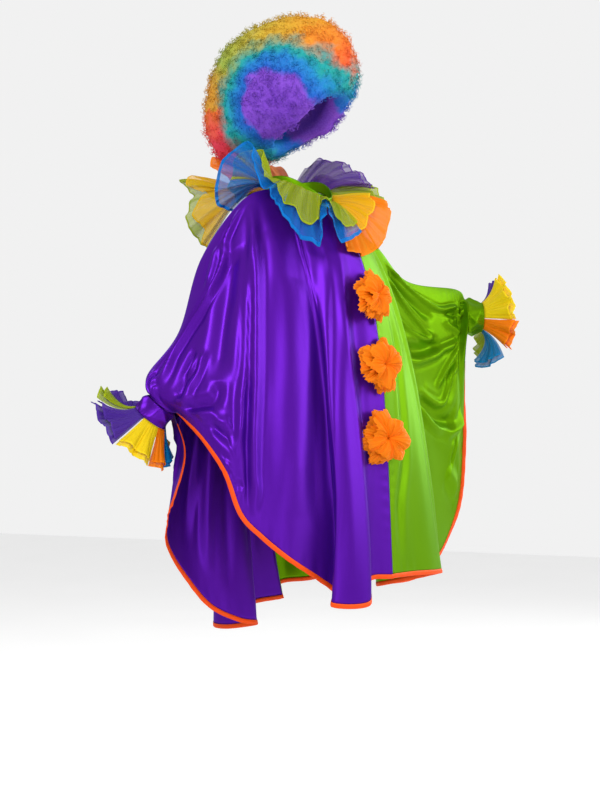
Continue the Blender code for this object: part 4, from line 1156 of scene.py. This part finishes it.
# %% Rainbow hair finish
WIG_CENTRE = np.array([0.0, 0.034, 0.232])
EAR_RING = [
    (0.00, (0.20, 0.040, 0.62)), (0.30, (0.27, 0.075, 0.72)), (0.37, (0.004, 0.15, 0.70)),
    (0.50, (0.0, 0.27, 0.66)), (0.60, (0.0, 0.40, 0.38)),
]
RAINBOW = [
    (0.00, (0.95, 0.20, 0.015)), (0.06, (0.98, 0.045, 0.10)), (0.13, (0.95, 0.03, 0.02)),
    (0.24, (0.96, 0.20, 0.01)), (0.42, (0.95, 0.30, 0.02)), (0.53, (0.95, 0.055, 0.02)),
    (0.61, (0.96, 0.13, 0.01)), (0.71, (0.95, 0.42, 0.01)), (0.80, (0.72, 0.52, 0.03)),
    (0.90, (0.36, 0.50, 0.05)), (0.95, (0.80, 0.38, 0.02)),
]


def rainbow_hair():
    finish = Finish("rainbow_hair")

    def vector(operation, sockets):
        return finish.node("ShaderNodeVectorMath", {"operation": operation}, sockets)

    place = finish.node("ShaderNodeTexCoord", output=3)
    fluff, fine = finish.noise(place, 22.0, 4.0, output=1), finish.noise(place, 260.0)
    place = vector("ADD", {0: place, 1: vector("SCALE", {0: fluff, 3: 0.085})})
    place = vector("SUBTRACT", {0: place, 1: (0.0425, 0.0235, 0.2285)})
    y, z = finish.number(place, 1), finish.number(place, 2)
    away = (y * y + z * z) ** 0.5
    angle = z.math("ARCTAN2", y * -1.0) * (0.5 / math.pi) + 0.5
    outside = ((away - 0.142) * 30.0).clamped()
    ring = finish.node("ShaderNodeValToRGB", {"stops": EAR_RING}, {"Fac": away * 4.3})
    colour = finish.blend(outside, ring, finish.node("ShaderNodeValToRGB", {"stops": RAINBOW}, {"Fac": angle}))
    dark = finish.blend(0.5, finish.blend(0.42, colour, (0.02, 0.01, 0.03)), colour)
    tips = finish.blend(0.05, colour, (1.0, 0.95, 0.95))
    return finish.set(
        Base_Color=finish.blend((fine * 1.6 - 0.35).math("MINIMUM", 1.0), dark, tips),
        Roughness=0.6, Specular_IOR_Level=0.05,
    )


RAINBOW_HAIR = rainbow_hair()
print(RAINBOW_HAIR.name)

# %% The hair mass
WIG_HALF_WIDTH = 0.158
WIG_OPENING_DEG = 52.0  # how far below straight ahead the opening faces
# The outline from the side: degrees round from straight ahead, upwards, and how far the curls reach.
WIG_OUTLINE = np.array([
    (-100, 0.158), (-80, 0.140), (-60, 0.140), (-30, 0.158), (-8, 0.176), (15, 0.206), (37, 0.218), (58, 0.210),
    (76, 0.198), (107, 0.184), (134, 0.190), (163, 0.200), (188, 0.214), (205, 0.232), (222, 0.2376),
    (238, 0.2050), (260, 0.158),
])


def wig_reach(direction):
    """How far the hair reaches from the wig's centre along each direction."""
    ahead, sideways, up = -direction[..., 1], direction[..., 0], direction[..., 2]
    degrees = np.degrees(np.arctan2(up, ahead))
    degrees = np.where(degrees < -100, degrees + 360, degrees)
    reach = np.interp(degrees, WIG_OUTLINE[:, 0], WIG_OUTLINE[:, 1])
    return 1 / np.sqrt((ahead**2 + up**2) / reach**2 + (sideways / WIG_HALF_WIDTH) ** 2)


def wig_direction(polar, turn):
    """A direction polar degrees off the opening's axis, turned round it from the top."""
    down = math.radians(WIG_OPENING_DEG)
    axis = np.array([0.0, -math.cos(down), -math.sin(down)])
    top = np.array([0.0, -math.sin(down), math.cos(down)])
    side = np.cross(axis, top)
    polar, turn = np.radians(polar)[..., None], np.radians(turn)[..., None]
    return axis * np.cos(polar) + (top * np.cos(turn) + side * np.sin(turn)) * np.sin(polar)


def wig_rim(turn):
    """How many degrees off the opening's axis the rim is."""
    return np.hypot(50.0 * np.cos(np.radians(turn)), 34.0 * np.sin(np.radians(turn)))


def lumps(direction):
    """Soft lumps of the hair mass, in metres."""
    x, y, z = direction[..., 0], direction[..., 1], direction[..., 2]
    return 0.0035 * (np.sin(9 * x + 3 * z + 1) * np.sin(11 * y - 2) + 0.7 * np.sin(17 * z + 5 * x) * np.sin(15 * x + 2))


print("hair reaches", WIG_OUTLINE[:, 1].min(), "to", WIG_OUTLINE[:, 1].max(), "m")

# %% The cap
WIG_INNER = np.array([0.088, 0.112, 0.118])
CAP_DEPTH = 0.012  # how far below the hair's reach the cap lies


def wig_cap(columns=110, rows=64, inner_rows=14):
    """A closed bowl: out from its crown over the hair, round the rim, and back up inside round the head."""
    turn = np.linspace(0, 360, columns + 1)[None]
    back = np.concatenate([np.linspace(1, -0.03, rows), np.linspace(0, 1, inner_rows)])[:, None]
    polar = wig_rim(turn) + (179.5 - wig_rim(turn)) * back
    direction = wig_direction(polar, np.repeat(turn, len(back), axis=0))
    inner = 1 / np.linalg.norm(direction / WIG_INNER, axis=2)
    outer = wig_reach(direction) - CAP_DEPTH + lumps(direction)
    share = np.concatenate([np.ones(rows - 3), [0.96, 0.84, 0.55], np.zeros(inner_rows)])[:, None]
    reach = inner + (outer - inner) * share + 0.001 * (share == 0)
    return (WIG_CENTRE + direction * reach[..., None]).transpose(1, 0, 2)


print("cap helper ready")

# %% Curls
CURLS = ((1.6, 0.0042, 0.017), (2.1, 0.0036, 0.019), (1.2, 0.0054, 0.015))  # turns, radius and height
ROOT_DEPTH = 0.0155  # how far below the hair's reach the roots of the curls are


def curl(turns, radius, height, thickness=0.00085, steps=12):
    """A helix with three sides that starts at the origin and climbs along Z."""
    at = np.linspace(0, 1, steps + 1)
    angle = at * turns * 2 * math.pi
    swell = radius * smoothstep(at * 3)
    middle = np.stack([swell * np.cos(angle), swell * np.sin(angle), at * height], axis=1)
    along = unit(np.gradient(middle, axis=0))
    out = unit(np.stack([np.cos(angle), np.sin(angle), 0 * angle], axis=1))
    side = np.cross(along, out)
    thin = thickness * (1 - 0.75 * at**3)
    rings = [middle + (out * math.cos(a) + side * math.sin(a)) * thin[:, None] for a in (0, 2.1, 4.2)]
    vertices = np.stack(rings, axis=1).reshape(-1, 3)
    first, after = np.arange(steps * 3), np.arange(steps * 3) // 3 * 3 + (np.arange(steps * 3) + 1) % 3
    return vertices, np.stack([first, after, after + 3, first + 3], axis=1)


def grow_curls(name, count, seed, low, high):
    """Copies of a few curls, spread over the hair mass between two shares of the way back from the rim."""
    rng = np.random.default_rng(seed)
    shapes = [curl(*sizes) for sizes in CURLS]
    turn = rng.uniform(0, 360, count)
    rim = wig_rim(turn)
    first, last = (np.cos(np.radians(rim + (180 - rim) * share)) for share in (low, high))
    polar = np.degrees(np.arccos(first + (last - first) * rng.uniform(0, 1, count)))
    direction = wig_direction(polar, turn)
    reach = wig_reach(direction) - ROOT_DEPTH + lumps(direction)
    roots = WIG_CENTRE + direction * reach[:, None]
    up = unit(direction + rng.normal(0, 0.42, (count, 3)))
    side = unit(np.cross(up, rng.normal(0, 1, (count, 3))))
    size = rng.uniform(0.72, 1.12, count)
    vertices, faces, total = [], [], 0
    for index in range(count):
        points, sides = shapes[index % len(shapes)]
        axes = np.stack([side[index], np.cross(up[index], side[index]), up[index]])
        vertices.append(roots[index] + points @ axes * size[index])
        faces.append(sides + total)
        total += len(points)
    vertices = np.concatenate(vertices)
    return mesh_of(name, vertices, np.concatenate(faces), vertices[:, 1:] * 0 + 0.5, RAINBOW_HAIR)


print("kinds of curl:", len(CURLS))

# %% Make the wig
WIG_WALL = 0.0010

for piece in (
    sheet_piece("wig_cap", [wig_cap()], WIG_WALL, RAINBOW_HAIR, closed=True),
    grow_curls("curls_front", 1900, 5, -0.02, 0.40),
    grow_curls("curls_back", 1850, 6, 0.38, 1.0),
):
    placed(piece, "curly_hair", ["wig"])
    print(piece.name, len(piece.data.polygons), "faces")

# %% [markdown]
# ## The studio
#
# Five soft lights: a key on the camera's side, a fill, a low one for the hem, one from the wearer's left and
# a rim light. The floor and the sky are pale, and look brighter to the camera than they shine on the cloth.
# The camera looks level at the costume's side from five metres.

# %% Floor
FLOOR_HEIGHT = -1.416
FLOOR_GLOW = 0.27  # a glow of the floor that only the camera sees


def floor_finish():
    finish = Finish("studio_floor")
    grain = finish.noise(finish.node("ShaderNodeTexCoord", output=3), 3.0)
    return finish.set(
        Base_Color=finish.blend(grain, (0.80, 0.80, 0.80), (0.86, 0.86, 0.86)), Roughness=0.7,
        Emission_Color=(1.0, 1.0, 1.0, 1.0), Emission_Strength=finish.node("ShaderNodeLightPath") * FLOOR_GLOW,
    )


deselect()
bpy.ops.mesh.primitive_plane_add(size=14, location=(0.0, 0.0, FLOOR_HEIGHT))
floor = bpy.context.active_object
floor.name = "floor"
floor.data.materials.append(floor_finish())
print("floor at", FLOOR_HEIGHT)

# %% Lights and sky
SKY, SKY_GLOW = 0.62, 0.26  # the sky's strength, and what the camera sees on top of it


def stood(name, data, location, towards):
    """An object at location whose Z axis points along towards, so that a lamp or camera looks the other way."""
    thing = bpy.data.objects.new(name, data)
    bpy.context.scene.collection.objects.link(thing)
    thing.location = location
    thing.rotation_euler = towards.to_track_quat("Z", "Y").to_euler()
    return thing


# name, location, what it shines on, size and power
for name, location, target, size, power in (
    ("key", (-3.3, -0.7, 1.6), (0.0, 0.0, -0.4), 1.5, 64),
    ("fill", (1.2, -3.3, 0.9), (0.1, 0.0, -0.4), 2.6, 60),
    ("low", (-3.2, -3.4, -0.8), (-0.2, 0.1, -0.8), 2.0, 20),
    ("front", (3.3, -1.3, 0.5), (0.2, -0.1, -0.5), 2.2, 42),
    ("rim", (0.8, 2.6, 1.8), (0.0, 0.0, -0.3), 1.4, 14),
):
    light = bpy.data.lights.new(name, "AREA")
    light.shape = "DISK"
    light.size = size
    light.energy = power
    stood(name, light, location, Vector(location) - Vector(target))

world = bpy.data.worlds.new("studio")
bpy.context.scene.world = world
world.use_nodes = True
nodes, links = world.node_tree.nodes, world.node_tree.links
strength = nodes.new("ShaderNodeMath")
strength.operation = "MULTIPLY_ADD"
strength.inputs[1].default_value = SKY_GLOW
strength.inputs[2].default_value = SKY
links.new(nodes.new("ShaderNodeLightPath").outputs["Is Camera Ray"], strength.inputs[0])
nodes["Background"].inputs["Color"].default_value = (1.0, 1.0, 1.0, 1.0)
links.new(strength.outputs[0], nodes["Background"].inputs["Strength"])

print("lights:", [thing.name for thing in bpy.data.lights])

# %% Camera
AZIMUTH = math.radians(-60.0)
DISTANCE = 5.0
VIEW_HEIGHT = 1.92  # how many metres the camera sees from top to bottom at the costume
back = Vector((math.sin(AZIMUTH), -math.cos(AZIMUTH), 0.0))
target = Vector((0.0048, -0.0083, -0.504))
camera = stood("camera", bpy.data.cameras.new("camera"), target + back * DISTANCE, back)
camera.data.sensor_fit = "VERTICAL"
camera.data.sensor_height = 36.0
camera.data.lens = 36.0 * DISTANCE / VIEW_HEIGHT
bpy.context.scene.camera = camera
bpy.context.scene.view_settings.view_transform = "Standard"
print("camera at", [round(value, 2) for value in camera.location])

# %% Faces by piece
print("faces by piece:", MADE)
